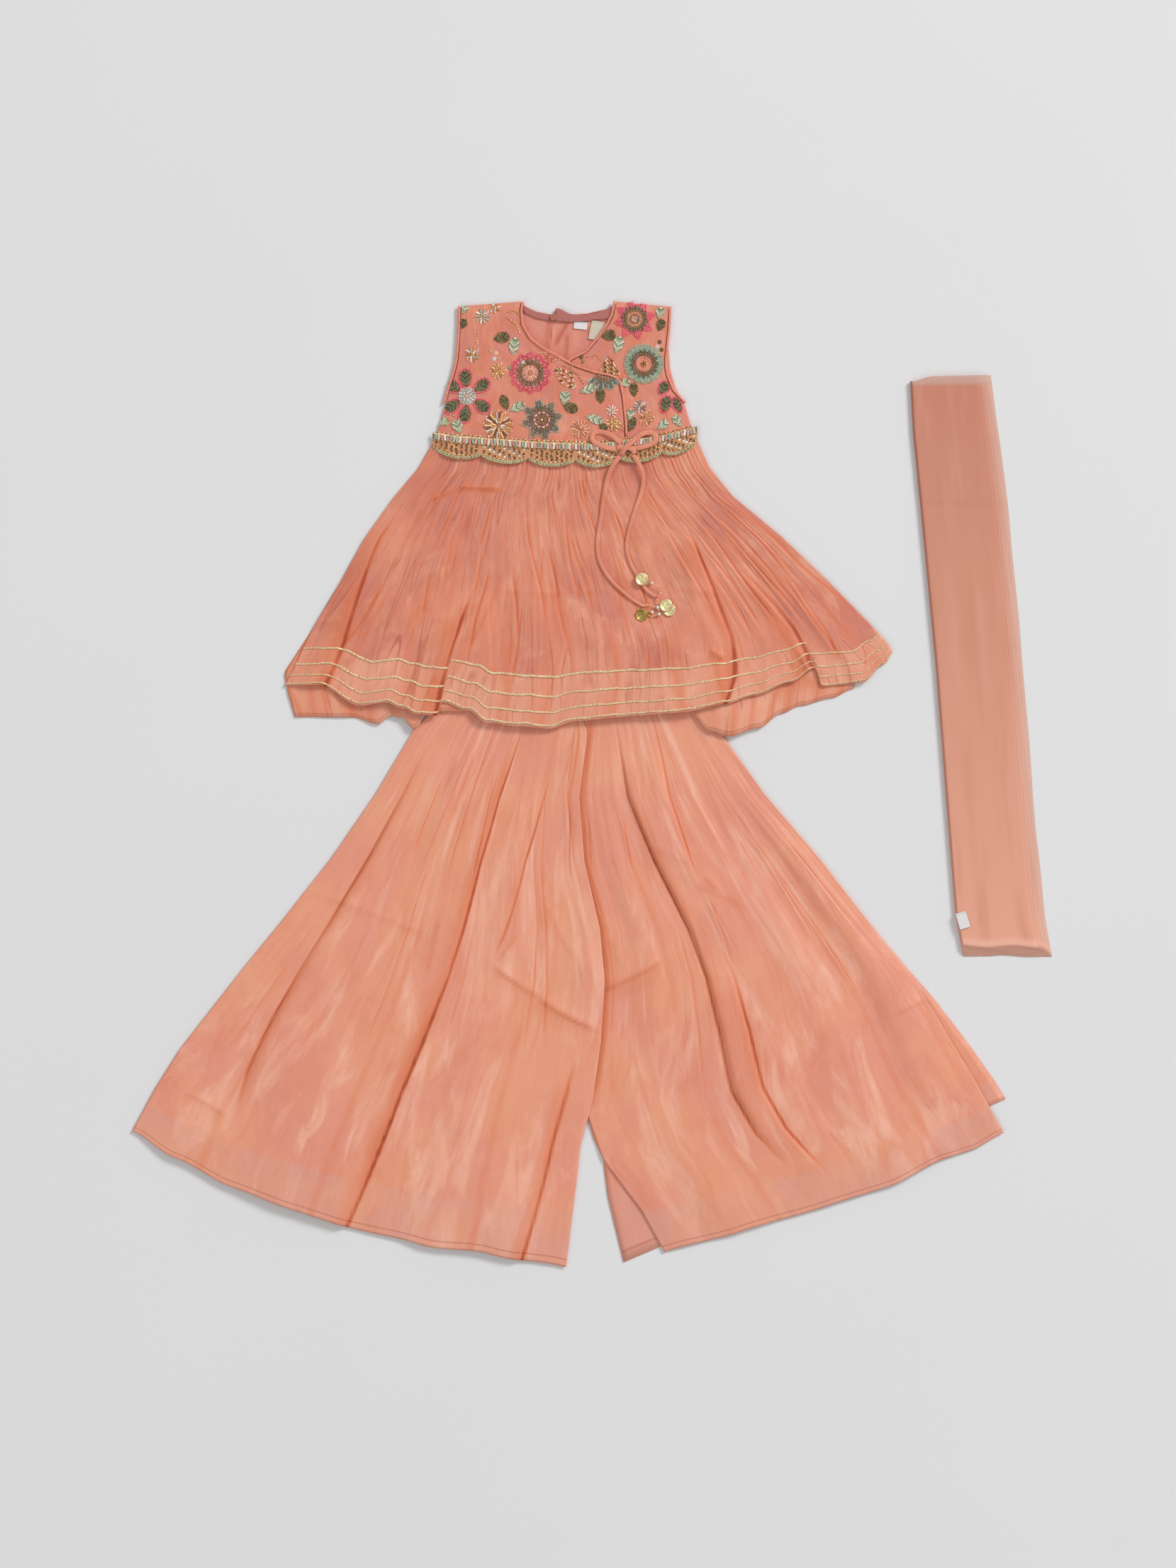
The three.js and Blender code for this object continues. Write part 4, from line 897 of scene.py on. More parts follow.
def back_place(u, v):
    x, y = panel_point(BODICE_BACK, u, v)
    neck = read_table(BACK_NECK, u)[0]
    y = to_seam(x, lerp(neck, y, smooth(v / 0.3)), v)
    slit = bell(x + 39 + 0.12 * (457 - y), 0.8) * smooth((y - 422) / 8)
    lift, pressed = stroke_rise(BACK_STROKES, x, y)
    rise = 0.25 * slit + 0.3 * lift + 0.12 * ripple(u, v, 14, 9, 4)
    # Painted shade in the slit and beside the pressed creases.
    return x, y, 1.2 + rise, 0.8 * slit + 1.7 * pressed


bodice_back = cloth("kurti_back_satin", 110, 70, back_place, 0.9, satin, "lining", "kurti_back")
under_front = cloth(
    "kurti_under_front", 70, 96, bodice_place(UNDER_FRONT, False, 6), 0.7, bodice_silk, "embroidered_silk",
    "kurti_front_under")
over_front = cloth(
    "kurti_over_front", 120, 96, bodice_place(OVER_FRONT, True, 4), 0.7, bodice_silk, "embroidered_silk",
    "kurti_front_over")

# %% [markdown]
# ## Gold braid, piping and bands
# Four lines of narrow gold ribbon are sewn round the skirt above its hem. Each is a strip that follows the
# skirt's own map, so it dips into every pleat. The neck and the armholes are bound with a rolled bias
# strip, which is the same soft tube as the tie, but round. Inside, a wider mauve band finishes the back of
# the neck.

# %% Gold braid
braid = Finish("gold_braid", Metallic=0.35, Coat_Weight=0.1)
braid_knit = braid.clouds(1, braid.place(True, (330, 5, 1)), detail=2)
braid_wear = braid.clouds(70, braid.place())
# The knit's pale and brown threads are the braid's pattern with painted glints and shade on it.
gold_knit_glints = braid.mix(dye(255, 236, 190), dye(196, 134, 90), braid.between(braid_knit, 0.48, 0.58))
worn_gold = braid.mix(gold_knit_glints, dye(232, 168, 128), braid.between(braid_wear, 0.5, 0.75) * 0.5)
braid.cover(worn_gold, 0.42 + braid_knit * 0.25, braid_knit, 0.6, 0.0005)
BRAID_WIDE = 0.0088
BRAIDS = {"gota_4": 0.785, "gota_3": 0.858, "gota_2": 0.93, "gota_1": 0.985}


def braid_place(middle):
    def place(u, v):
        wavy = 0.0014 * math.sin(92 * u + 300 * middle) + 0.001 * math.sin(217 * u)
        down = middle + (v - 0.5) * BRAID_WIDE + wavy
        x, y = skirt_point(SKIRT, u, down, SKIRT_HEM)
        return x, y, skirt_height(u, down, x, y)[0] + 0.55, 0
    return place


for name, middle in BRAIDS.items():
    cloth(name + "_ribbon", 400, 3, braid_place(middle), 0.5, braid, "gota", name, carries=False)

# %% Piping
piping = Finish("bias_piping", Sheen_Weight=0.3, Sheen_Roughness=0.4)
twist = piping.clouds(1, piping.place(True, (3, 90, 1)), detail=2)
piping_tone = piping.mix(dye(238, 150, 124), dye(222, 128, 104), piping.between(twist, 0.4, 0.65))
piping.cover(piping_tone, 0.5 + twist * 0.2, twist, 0.6, 0.0006)
PIPING_OUT = 1.95


def piping_line(edges, right_edge, last, height, climbs):
    """A line beside a panel's edge, down to the share last of it, as far out as half of the piping."""
    steps = 40
    column = 2 if right_edge else 0
    rows = [read_table(edges, last * i / steps)[column:column + 2] for i in range(steps + 1)]
    outward = 1 if right_edge else -1
    line = []
    for before, here, after in zip(rows[:1] + rows, rows, rows[1:] + rows[-1:]):
        dx, dy = after[0] - before[0], after[1] - before[1]
        out = outward * PIPING_OUT / math.hypot(dx, dy)
        x, y = here[0] - dy * out, here[1] + dx * out
        line.append(Vector((x, y, height + (climb(x) if climbs else 0))))
    return line


PIPINGS = {
    "neck_piping_over": (OVER_FRONT, True, 0.9, 4.0, True),
    "neck_piping_under": (UNDER_FRONT, False, 0.47, 4.0, False),
    "armhole_piping_left": (OVER_FRONT, False, 0.62, 2.7, True),
    "armhole_piping_right": (UNDER_FRONT, True, 0.68, 2.7, False),
}
for name, edge in PIPINGS.items():
    roll = soft_tube(piping_line(*edge), (2.4, 2.4), 2.3, sides=12)
    piece(name + "_roll", as_mesh(name, roll), piping, "piping", name)
print(len(PIPINGS), "rolls of piping")

# %% Neck band
band_cloth = Finish("neck_band_bias", Sheen_Weight=0.35, Sheen_Roughness=0.4)
band_weave = band_cloth.clouds(1, band_cloth.place(True, (420, 40, 1)), detail=2)
band_tone = band_cloth.mix(dye(192, 118, 110), dye(174, 102, 94), band_cloth.between(band_weave, 0.35, 0.7))
# The mark from the band's shape is painted shade.
band_tone = band_cloth.mix(band_tone, dye(168, 86, 74), band_cloth.mark("crease"))
band_cloth.cover(band_tone, 0.5 + band_weave * 0.2, band_weave, 0.4, 0.0003)


def band_place(u, v):
    """The band stands a little higher on the right of the slit, where the button's end lies open."""
    across = lerp(0.3, 0.75, u)
    x = lerp(-129.5, 75.2, across)
    right = smooth((x + 37.4) / 1.2)
    corner = 6.4 * right * bell(x + 34.5, 11)
    deep = lerp(6.4, 10.5, smooth(x / 20))
    y = read_table(BACK_NECK, across)[0] - 0.4 + corner - (deep + corner) * v
    button_gap = bell(x + 36.6, 0.8)
    stitches = bell(v - 0.9, 0.04) * (0.5 + 0.5 * math.sin(260 * u))
    z = 2.5 + 0.6 * right - 0.5 * button_gap - 0.15 * stitches
    # Painted shade in the button's gap, in the stitch grooves and along the band's lower edge.
    return x, y, z, 0.9 * button_gap + 0.5 * stitches + 0.25 * smooth((v - 0.93) / 0.05)


cloth("back_neck_band_bias", 150, 12, band_place, 0.95, band_cloth, "piping", "back_neck_band")

# %% [markdown]
# ## Labels, button and waist casing
# The labels are short lengths of woven tape, bare here, stitched at one end. The button at the back of the
# neck is a small domed one, turned by a spin round its own axis. The trousers' waist is a casing with
# elastic inside, which pulls it into small folds. It starts as a plain cylinder, pressed flat and rippled.

# %% Labels


def woven_tape(name, thread, shade):
    tape = Finish(name)
    warp = tape.clouds(1, tape.place(stretch=(2600, 500, 500)), detail=2)
    weft = tape.clouds(1, tape.place(stretch=(400, 2600, 500)), detail=2)
    weave = tape.mix(thread, shade, warp * 0.7)
    # The mark from the label's shape: painted shade in the stitch grooves, and darker edges.
    weave = tape.mix(weave, dye(150, 140, 128), tape.mark("crease"))
    tape.cover(weave, 0.62 + weft * 0.2, warp + weft, 0.4, 0.0002)
    return tape


white_tape = woven_tape("white_woven_tape", dye(238, 234, 232), dye(216, 212, 214))
cream_tape = woven_tape("cream_woven_tape", dye(218, 208, 188), dye(204, 194, 170))


def label(name, middle, size, turn, top, finish, slot, node):
    """A bare woven label with a stitched upper end and a slight curl."""
    def place(u, v):
        across, down = (u - 0.5) * size[0], (0.5 - v) * size[1]
        curl = 0.35 * v * v + 0.12 * math.sin(4 * u + 1)
        stitches = bell(v - 0.1, 0.035) * (0.5 + 0.5 * math.sin(80 * u))
        edge = 0.5 * (1 - smooth(min(u, 1 - u, v, 1 - v) / 0.04))
        x, y = beside(middle, turn, across, down)
        # Painted shade in the stitch grooves; the edges are darker too.
        return x, y, top + curl - 0.2 * stitches, 0.5 * stitches + 0.4 * edge
    cloth(name, 40, 30, place, 0.3, finish, slot, node, carries=False)


label("size_tag_tape", (-11.5, 452.6), (13.5, 7.6), -0.12, 2.0, white_tape, "white_label", "size_tag")
label("neck_label_tape", (9, 446.4), (23, 19), -0.2, 1.9, cream_tape, "cream_label", "neck_label")
label("dupatta_tag_tape", (365.4, -134.4), (10.6, 16.4), 0.28, 5.8, white_tape, "white_label", "dupatta_tag")

# %% Button


def turned(profile, middle, steps=40):
    """A closed shape spun from a profile of (radius, height) in millimetres, at a place on the cloth."""
    shape = bmesh.new()
    verts = [shape.verts.new((radius * MM, 0, height * MM)) for radius, height in profile]
    edges = [shape.edges.new(pair) for pair in zip(verts, verts[1:])]
    whole_turn = {"cent": (0, 0, 0), "axis": (0, 0, 1), "angle": 2 * math.pi, "steps": steps}
    bmesh.ops.spin(shape, geom=verts + edges, use_merge=True, **whole_turn)
    bmesh.ops.remove_doubles(shape, verts=shape.verts, dist=1e-7)
    bmesh.ops.recalc_face_normals(shape, faces=shape.faces)
    bmesh.ops.translate(shape, verts=shape.verts, vec=Vector(middle) * MM)
    for face in shape.faces:
        face.smooth = True
    return shape


gloss = Finish("button_gloss", Coat_Weight=0.5, Coat_Roughness=0.15)
gloss_swirl = gloss.clouds(260, gloss.place(), detail=3)
gloss_tone = gloss.mix(dye(200, 128, 110), dye(150, 84, 62), gloss_swirl)
gloss.cover(gloss_tone, 0.25 + gloss_swirl * 0.2, gloss_swirl, 0.1, 0.0003)
BUTTON_RADIUS = 3.4
BUTTON = [
    (0, 0.4), (1.6, 0.4), (2.9, 0.5), (BUTTON_RADIUS, 0.9), (BUTTON_RADIUS, 1.3), (3.0, 1.75), (2.4, 1.8),
    (1.9, 1.6), (0, 1.5)]
button = turned(BUTTON, (-38.5, 460.4, 2.5))
piece("back_button_dome", as_mesh("back_button", button), gloss, "button", "back_button")
print("button", 2 * BUTTON_RADIUS, "mm across")

# %% Waist casing
casing = bmesh.new()
bmesh.ops.create_cone(casing, cap_ends=False, segments=260, radius1=1, radius2=1, depth=1)
upright = [edge for edge in casing.edges if abs(edge.verts[0].co.z - edge.verts[1].co.z) > 0.5]
bmesh.ops.subdivide_edges(casing, edges=upright, cuts=5)
casing_shade = casing.verts.layers.float.new("crease")
for vert in casing.verts:
    turn = math.atan2(vert.co.y, vert.co.x)
    flat_x = math.copysign(abs(math.cos(turn)) ** 0.35, math.cos(turn))
    flat_z = math.copysign(abs(math.sin(turn)) ** 0.3, math.sin(turn))
    folds = math.sin(46 * turn) * 0.14 + math.sin(71 * turn + 1) * 0.08
    pinch = 0.3 * bell(abs(vert.co.z) - 0.34, 0.06)
    # Painted shade in the valleys of the folds and along the pinched lines, over a slight darkening all over.
    vert[casing_shade] = clamp(0.3 - 1.6 * folds + pinch)
    height = 1.8 + (1.5 + folds - pinch) * flat_z
    vert.co = ((-14 + 99.7 * flat_x) * MM, (121.15 + 11.5 * vert.co.z) * MM, height * MM)
for face in casing.faces:
    face.smooth = True
bmesh.ops.recalc_face_normals(casing, faces=casing.faces)
facing = sum(face.normal.z * (face.calc_center_median().z - 1.8 * MM) for face in casing.faces)
if facing < 0:
    bmesh.ops.reverse_faces(casing, faces=casing.faces)
waist_casing = sew("trouser_waist_casing", casing, 0.9, satin, "lining", "sharara_waistband")

# %% [markdown]
# ## Beadwork
# Each bead is a small shape of its own, put on the cloth below it: a glass seed, a short tube, a flat
# sequin or a ring of metal. They are all written into one mesh with their colour on their points, since a
# thousand objects would be slow. The fourth number of a colour says how much like metal the bead is. The
# flowers and leaves are plain ones, laid out from rings, rows and fans of beads.

# %% Bead colours
BEAD_TONES = {
    "dark": (84, 80, 48, 0.1), "moss": (142, 122, 72, 0.2), "green": (128, 142, 112, 0),
    "mint": (188, 200, 168, 0),
    "aqua": (174, 194, 180, 0), "sea": (116, 138, 122, 0), "magenta": (250, 58, 112, 0),
    "rose": (255, 116, 146, 0),
    "pale": (252, 200, 178, 0), "salmon": (242, 170, 144, 0), "gold": (224, 166, 88, 0.4),
    "light_gold": (255, 228, 170, 0.3), "brown": (128, 80, 44, 0.2), "silver": (250, 246, 238, 0.2),
    "grey": (150, 136, 116, 0.1), "rose_gold": (250, 200, 176, 0.3), "pearl": (248, 234, 214, 0),
    "lime": (204, 210, 160, 0.1)}
TONES = {name: (*dye(*tone[:3])[:3], tone[3]) for name, tone in BEAD_TONES.items()}
glass = Finish("beads_and_sequins", Coat_Weight=0.25, Coat_Roughness=0.2)
bead_tint = glass.node("Attribute", {"attribute_name": "tint"}, out="Color")
bead_metal = glass.node("Attribute", {"attribute_name": "tint"}, out="Alpha")
bead_chance = glass.clouds(700, glass.place())
glass.feed("Base Color", glass.mix(bead_tint, dye(60, 46, 34), glass.between(bead_chance, 0.56, 0.8) * 0.5))
glass.feed("Metallic", bead_metal)
glass.feed("Roughness", 0.26 + bead_chance * 0.2)
print(len(TONES), "bead colours")

# %% Beads on the cloth
FRONT_FACE = 2.4 * MM
bead_luck = random.Random(16)


def bead(work, kind, x, y, size, tone, turn=0.0, top=None):
    """One bead of a size (long, wide, tall) in millimetres on the front's cloth, turned in radians."""
    base = height_at(x * MM, y * MM) if top is None else top * MM
    if base < FRONT_FACE:
        return
    long, wide, tall = size
    grow = bead_luck.uniform(0.92, 1.1)
    place = (
        Matrix.Translation((x * MM, y * MM, base + 0.36 * tall * MM))
        @ Matrix.Rotation(turn, 4, "Z")
        @ Matrix.Diagonal((long * grow * MM, wide * grow * MM, tall * MM, 1)))
    metal = TONES[tone][3]
    light = bead_luck.uniform(0.8 - 0.3 * metal, 1.12 + 0.5 * metal)
    work.append((kind, place, [part * light for part in TONES[tone][:3]] + [metal]))


def string_beads(work):
    """Builds the beads of a list, a few hundred at a time, since a small mesh takes new shapes fastest."""
    lie = Matrix.Rotation(math.pi / 2, 4, "Y")
    whole = bmesh.new()
    for start in range(0, len(work), 200):
        part = bmesh.new()
        tint = part.verts.layers.float_color.new("tint")
        for kind, place, colour in work[start:start + 200]:
            if kind == "seed":
                made = bmesh.ops.create_icosphere(part, subdivisions=1, radius=0.5, matrix=place)
            elif kind == "tube":
                made = bmesh.ops.create_cone(
                    part, cap_ends=True, segments=6, radius1=0.5, radius2=0.5, depth=1, matrix=place @ lie)
            else:
                made = bmesh.ops.create_cone(
                    part, cap_ends=True, segments=10, radius1=0.5, radius2=0.4, depth=1, matrix=place)
            for vert in made["verts"]:
                vert[tint] = colour
        join(whole, part)
    return whole


def walk(points, pitch):
    """Places at even steps along a line of points, each with the line's direction there."""
    left = pitch / 2
    for (ax, ay), (bx, by) in zip(points, points[1:]):
        span = math.hypot(bx - ax, by - ay)
        while left <= span and span > 0:
            t = left / span
            yield lerp(ax, bx, t), lerp(ay, by, t), math.atan2(by - ay, bx - ax)
            left += pitch
        left -= span


def string_of(work, points, pitch, size, tones, top=None):
    for i, (x, y, turn) in enumerate(walk(points, pitch)):
        bead(work, "seed", x, y, size, tones[i % len(tones)], turn, top)


def ring(work, kind, middle, radius, count, size, tones, lobes=0, depth=0.0, turn=0.0, arc=(0, 360)):
    """Beads round a circle, or round a flower's edge with a number of lobes, on an arc given in degrees."""
    for i in range(count):
        angle = turn + 2 * math.pi * i / count
        if not arc[0] <= math.degrees(angle) % 360 <= arc[1]:
            continue
        reach = radius * (1 + depth * (abs(math.cos(lobes * (angle - turn) / 2)) - 0.6)) if lobes else radius
        bead(work, kind, *polar(middle, reach, angle), size, tones[i % len(tones)], angle)


def finish_work(name, work, slot, *nodes):
    made = piece(name, as_mesh(name, string_beads(work)), glass, slot, *nodes)
    print(name, len(work), "beads,", len(made.data.polygons), "faces")
    return made


print("a bead goes on the cloth below it")

# %% Waist border ground
SCALLOPS = [(-157.5, 6), (-110, 8.5), (-63.3, 8.5), (-16.5, 8.5), (27, 8.5), (68.3, 8.5), (103.5, 7)]
BAND_TOP = 7.2


def scallop_drop(x):
    """How far the scalloped edge hangs below the waist seam."""
    for (start, drop_a), (end, drop_b) in zip(SCALLOPS, SCALLOPS[1:]):
        if x <= end:
            break
    t = clamp((x - start) / (end - start))
    return lerp(drop_a, drop_b, t) + 8 * math.sqrt(max(0, math.sin(math.pi * t)))


def border_ground(u, v):
    x = lerp(-157.5, 103.5, u)
    seam = seam_y(x)
    y = lerp(seam + BAND_TOP, seam - scallop_drop(x), v)
    band = smooth((y - seam - 0.5) / 1.5)
    wobble = 0.15 * ripple(u, v, 60, 6, 5)
    ends = 3.0 * smooth((0.06 - min(u, 1 - u)) / 0.06)
    return x, y, lerp(6.6, 7.1, band) + wobble - ends, 0.75 * band + 0.4 * clamp(ripple(u, v, 120, 10, 3))


ground = Finish("border_ground", Sheen_Weight=0.2)
couching = ground.clouds(1, ground.place(stretch=(420, 1500, 300)), detail=3)
ground_tone = ground.mix(dye(204, 138, 100), dye(232, 170, 128), ground.between(couching, 0.4, 0.64))
ground_colour = ground.mix(ground_tone, dye(120, 100, 60), ground.mark("crease"))
ground.cover(ground_colour, 0.45 + couching * 0.3, couching, 0.7, 0.0008)
cloth("waist_border_ground", 520, 16, border_ground, 0.9, ground, "beaded_border", "waist_border")

# %% Waist border beads
border = []
BAR_PITCH = 3.1
bars = round((102.5 + 156.5) / BAR_PITCH)
for i in range(bars):
    x = lerp(-156, 102, (i + 0.5) / bars)
    middle = seam_y(x) + 3.8
    tone = ("mint", "pearl", "salmon", "silver", "salmon", "aqua", "pale")[i % 7]
    lean = math.pi / 2 + bead_luck.uniform(-0.16, 0.16)
    for side in (-0.6, 0.6):
        bead(border, "tube", x + side, middle, (5.4, 1.3, 1.4), tone, lean)
    bead(border, "seed", x + BAR_PITCH / 2, middle + 1.4, (1.1, 1.1, 1), "moss")
    bead(border, "seed", x + BAR_PITCH / 2, middle - 1.2, (1.1, 1.1, 1), "dark")
for lift, tones in (
        (9.1, ("gold", "rose_gold", "brown")), (7.7, ("light_gold", "gold")),
        (6.5, ("gold", "lime", "light_gold")),
        (0.6, ("light_gold", "gold", "brown"))):
    line = [(x, seam_y(x) + lift) for x in range(-157, 104, 3)]
    string_of(border, line, 1.5, (1.5, 1.25, 1.1), tones)
for number, ((start, _), (end, _)) in enumerate(zip(SCALLOPS, SCALLOPS[1:])):
    edge_line = []
    for i in range(61):
        x = lerp(start + 1.2, end - 1.2, 0.5 - 0.5 * math.cos(math.pi * i / 60))
        edge_line.append((x, seam_y(x) - scallop_drop(x) + 1.7))
    for x, y, turn in walk(edge_line, 3.5):
        bead(border, "sequin", x, y, (3.3, 3.3, 0.5), "lime", turn)
        bead(border, "seed", x, y, (1.7, 1.7, 1.2), "dark", turn)
    inner_line = [(x, y + 2.6) for x, y in edge_line[4:-4]]
    string_of(border, inner_line, 1.5, (1.3, 1.1, 0.9), ("gold", "brown", "light_gold"))
    stacks = 9
    tones = (("brown", "gold", "brown", "moss"), ("silver", "gold", "brown", "grey"))[number % 2]
    for i in range(stacks):
        x = lerp(start, end, (i + 0.8) / (stacks + 0.6))
        room = scallop_drop(x) - 4.6
        for j in range(int(room / 2.0)):
            across, down = x + 0.5 * math.sin(j * 2.2), seam_y(x) - 1.6 - j * 2.05
            bead(border, "sequin", across, down, (2.5, 2.5, 0.6), tones[(i * 3 + j) % 4])
            if (i + j) % 4 == 0:
                bead(border, "seed", across + 2.1, down - 0.4, (1.1, 1.1, 1), ("gold", "light_gold")[j % 2])
finish_work("waist_border_beads", border, "beaded_border")

# %% Flowers


def on_cloth(across, down):
    """A place measured in picture elements from the picture's upper left corner, in millimetres."""
    return (across - 835.5) * 0.7, (1106 - down) * 0.7


def flower(work, place, radius, rounds, lobes=0, depth=0.0, arc=(0, 360)):
    """A round flower. Each round is a share of the radius, a kind of bead, its length and its colours."""
    middle = on_cloth(*place)
    for share, kind, long, tones in rounds:
        reach = radius * 0.7 * share
        count = max(4, int(2 * math.pi * reach / (1.45 if kind == "seed" else 1.6)))
        size = (long, 1.4, 1.2) if kind == "seed" else (long, 1.3, 1.2)
        ring(work, kind, middle, reach, count, size, tones, lobes if share > 0.7 else 0, depth, 0, arc)


def star_points(work, place, radius, points, edge, fill, turn=0.0):
    """Pointed petals round a flower, each a fan of three tubes between two rows of seeds."""
    middle = on_cloth(*place)
    size = radius * 0.7
    for i in range(points):
        angle = turn + 2 * math.pi * i / points
        tip = polar(middle, size, angle)
        for side in (-1, 1):
            foot = polar(middle, 0.68 * size, angle + side * math.pi / points)
            string_of(work, [foot, tip], 1.4, (1.4, 1.2, 1.0), edge)
        for spread in (-0.12, 0, 0.12):
            lean = angle + spread * 8 / points
            bead(work, "tube", *polar(middle, 0.74 * size, lean), (size * 0.26, 1.2, 1.2), fill[0], lean)


embroidery = []
flower(embroidery, (748, 527), 27, [
    (1.0, "seed", 1.5, ("magenta", "rose")), (0.91, "seed", 1.6, ("magenta", "rose", "magenta")),
    (0.82, "seed", 1.6, ("rose", "magenta", "pale")),
    (0.73, "seed", 1.5, ("moss", "magenta", "grey")), (0.64, "seed", 1.5, ("dark", "moss", "grey")),
    (0.55, "seed", 1.4, ("grey", "dark", "moss")), (0.47, "seed", 1.4, ("moss", "dark")),
    (0.28, "tube", 5.0, ("pale", "salmon")), (0.07, "seed", 1.4, ("gold",))], 12, 0.16)
star_points(embroidery, (895, 451), 29, 8, ("magenta", "rose"), ("rose",), 0.2)
flower(embroidery, (895, 451), 27, [
    (0.68, "seed", 1.5, ("magenta", "grey", "dark")), (0.6, "seed", 1.6, ("dark", "green", "grey")),
    (0.52, "seed", 1.5, ("dark", "moss")), (0.44, "seed", 1.5, ("moss", "green")),
    (0.34, "seed", 1.3, ("pale", "gold")),
    (0.22, "seed", 1.5, ("green", "dark")), (0.12, "seed", 1.4, ("aqua", "silver"))])
flower(embroidery, (908, 514), 28, [
    (0.96, "seed", 1.4, ("mint", "aqua")), (0.84, "tube", 4.2, ("mint", "aqua", "mint")),
    (0.7, "tube", 2.6, ("sea", "green", "aqua")), (0.6, "seed", 1.5, ("dark", "moss")),
    (0.52, "seed", 1.5, ("dark", "sea")),
    (0.44, "seed", 1.5, ("moss", "dark")), (0.33, "seed", 1.1, ("salmon", "pale")),
    (0.12, "seed", 1.6, ("gold", "brown")),
    (0.03, "seed", 1.4, ("dark",))], 16, 0.08)
star_points(embroidery, (764.5, 593), 31, 8, ("aqua", "mint"), ("sea",), 0.2)
flower(embroidery, (764.5, 593), 28, [
    (0.7, "seed", 1.6, ("sea", "dark", "aqua")), (0.62, "seed", 1.6, ("dark", "sea")),
    (0.54, "seed", 1.5, ("dark", "sea")),
    (0.46, "seed", 1.5, ("dark", "green")), (0.37, "seed", 1.6, ("silver", "rose_gold", "brown")),
    (0.28, "seed", 1.4, ("dark", "brown")), (0.19, "seed", 1.5, ("dark", "green")),
    (0.1, "seed", 1.5, ("moss", "dark")),
    (0.02, "seed", 1.4, ("light_gold",))])
flower(embroidery, (853, 522), 29, [
    (0.97, "seed", 1.4, ("aqua", "mint")), (0.82, "tube", 4.6, ("aqua", "sea", "grey")),
    (0.64, "tube", 3.4, ("sea", "grey", "green")), (0.48, "seed", 1.5, ("grey", "dark")),
    (0.38, "seed", 1.5, ("moss", "aqua"))], 10, 0.14, (212, 330))
print("embroidery so far", len(embroidery), "beads")

# %% Leaves and sprays


def leaf(work, place, degrees, long, wide, tones):
    """Two rows of slanting tubes on both sides of a rib, between pointed ends, with a fine gold outline."""
    middle = on_cloth(*place)
    turn = math.radians(degrees)
    length, width = long * 0.66, wide * 0.66
    steps = max(5, int(length / 1.3))
    for side in (-1, 1):
        outline = []
        for i in range(steps):
            t = (i + 0.5) / steps
            along = (t - 0.5) * length
            half = 0.5 * width * math.sin(math.pi * t) ** 0.7 + 0.2
            x, y = beside(middle, turn, along, side * 0.5 * half)
            bead(work, "tube", x, y, (half * 1.3, 1.2, 1.1), tones[i % len(tones)], turn + side * 0.8)
            outline.append(beside(middle, turn, along, side * (half + 0.5)))
        if tones[0] == "dark":
            string_of(work, outline, 1.2, (1.0, 0.8, 0.7), ("gold", "brown"))
    bead(work, "tube", *middle, (length * 0.8, 0.7, 1.3), "moss" if tones[0] == "dark" else "lime", turn)


def burst(work, place, radius, tones, rays=18, heart="gold"):
    """A round spray of tubes with seeds at their ends."""
    middle = on_cloth(*place)
    size = radius * 0.7
    ring(work, "tube", middle, size * 0.68, rays, (size * 0.44, 1.5, 1.2), tones)
    ring(work, "seed", middle, size * 0.97, rays, (1.5, 1.4, 1.1), tones[::-1], turn=0.1)
    ring(work, "tube", middle, size * 0.34, max(6, rays // 2), (size * 0.34, 1.4, 1.2), tones[::-1])
    ring(work, "seed", middle, size * 0.1, 4, (1.5, 1.5, 1.5), (heart,))


DARK_LEAF = ("dark", "moss", "dark", "moss", "grey")
MINT_LEAF = ("mint", "mint", "green", "pearl")
LEAVES = [
    (655.5, 436, 75, 15, 10, MINT_LEAF), (654, 457, 80, 14, 10, DARK_LEAF),
    (708, 477, 10, 23, 15, DARK_LEAF),
    (725, 489, 80, 25, 15, MINT_LEAF), (712, 568, 110, 22, 12, DARK_LEAF), (730, 575, 25, 24, 14, MINT_LEAF),
    (627, 596, 30, 14, 12, MINT_LEAF), (646, 602, 110, 20, 16, MINT_LEAF), (797, 562, 80, 20, 16, MINT_LEAF),
    (805, 576, -20, 22, 14, DARK_LEAF), (830, 550, 20, 24, 13, MINT_LEAF), (847, 559, 95, 22, 13, DARK_LEAF),
    (839, 592, -20, 26, 13, MINT_LEAF), (851, 603, -40, 14, 9, DARK_LEAF), (931, 442, 80, 16, 13, MINT_LEAF),
    (932, 459, 70, 17, 12, DARK_LEAF), (859, 474, 10, 20, 15, DARK_LEAF), (872, 487, 75, 25, 15, MINT_LEAF),
    (881, 541, 20, 16, 12, MINT_LEAF), (894, 550, 95, 20, 11, DARK_LEAF), (889, 585, 80, 16, 11, MINT_LEAF),
    (891, 599, 65, 22, 11, DARK_LEAF), (935, 600, 40, 18, 13, MINT_LEAF), (955, 594, 120, 18, 12, MINT_LEAF)]
for across, down, degrees, long, wide, tones in LEAVES:
    leaf(embroidery, (across, down), degrees, long, wide, tones)
BURSTS = [
    (703, 601, 21, ("gold", "light_gold", "brown", "silver"), 26),
    (703, 524, 11, ("gold", "light_gold"), 12),
    (681, 447, 11, ("aqua", "silver", "mint"), 10), (667, 501, 11, ("mint", "silver", "gold"), 10),
    (698, 434, 8, ("silver", "gold", "rose_gold"), 8), (863, 580, 8, ("silver", "rose_gold"), 9),
    (865, 599, 10, ("gold", "light_gold"), 10), (903, 574, 9, ("grey", "silver", "aqua"), 10),
    (912, 590, 11, ("gold", "rose_gold"), 12), (775, 506, 8, ("gold", "rose"), 8),
    (818, 606, 13, ("rose_gold", "pale", "gold"), 14)]
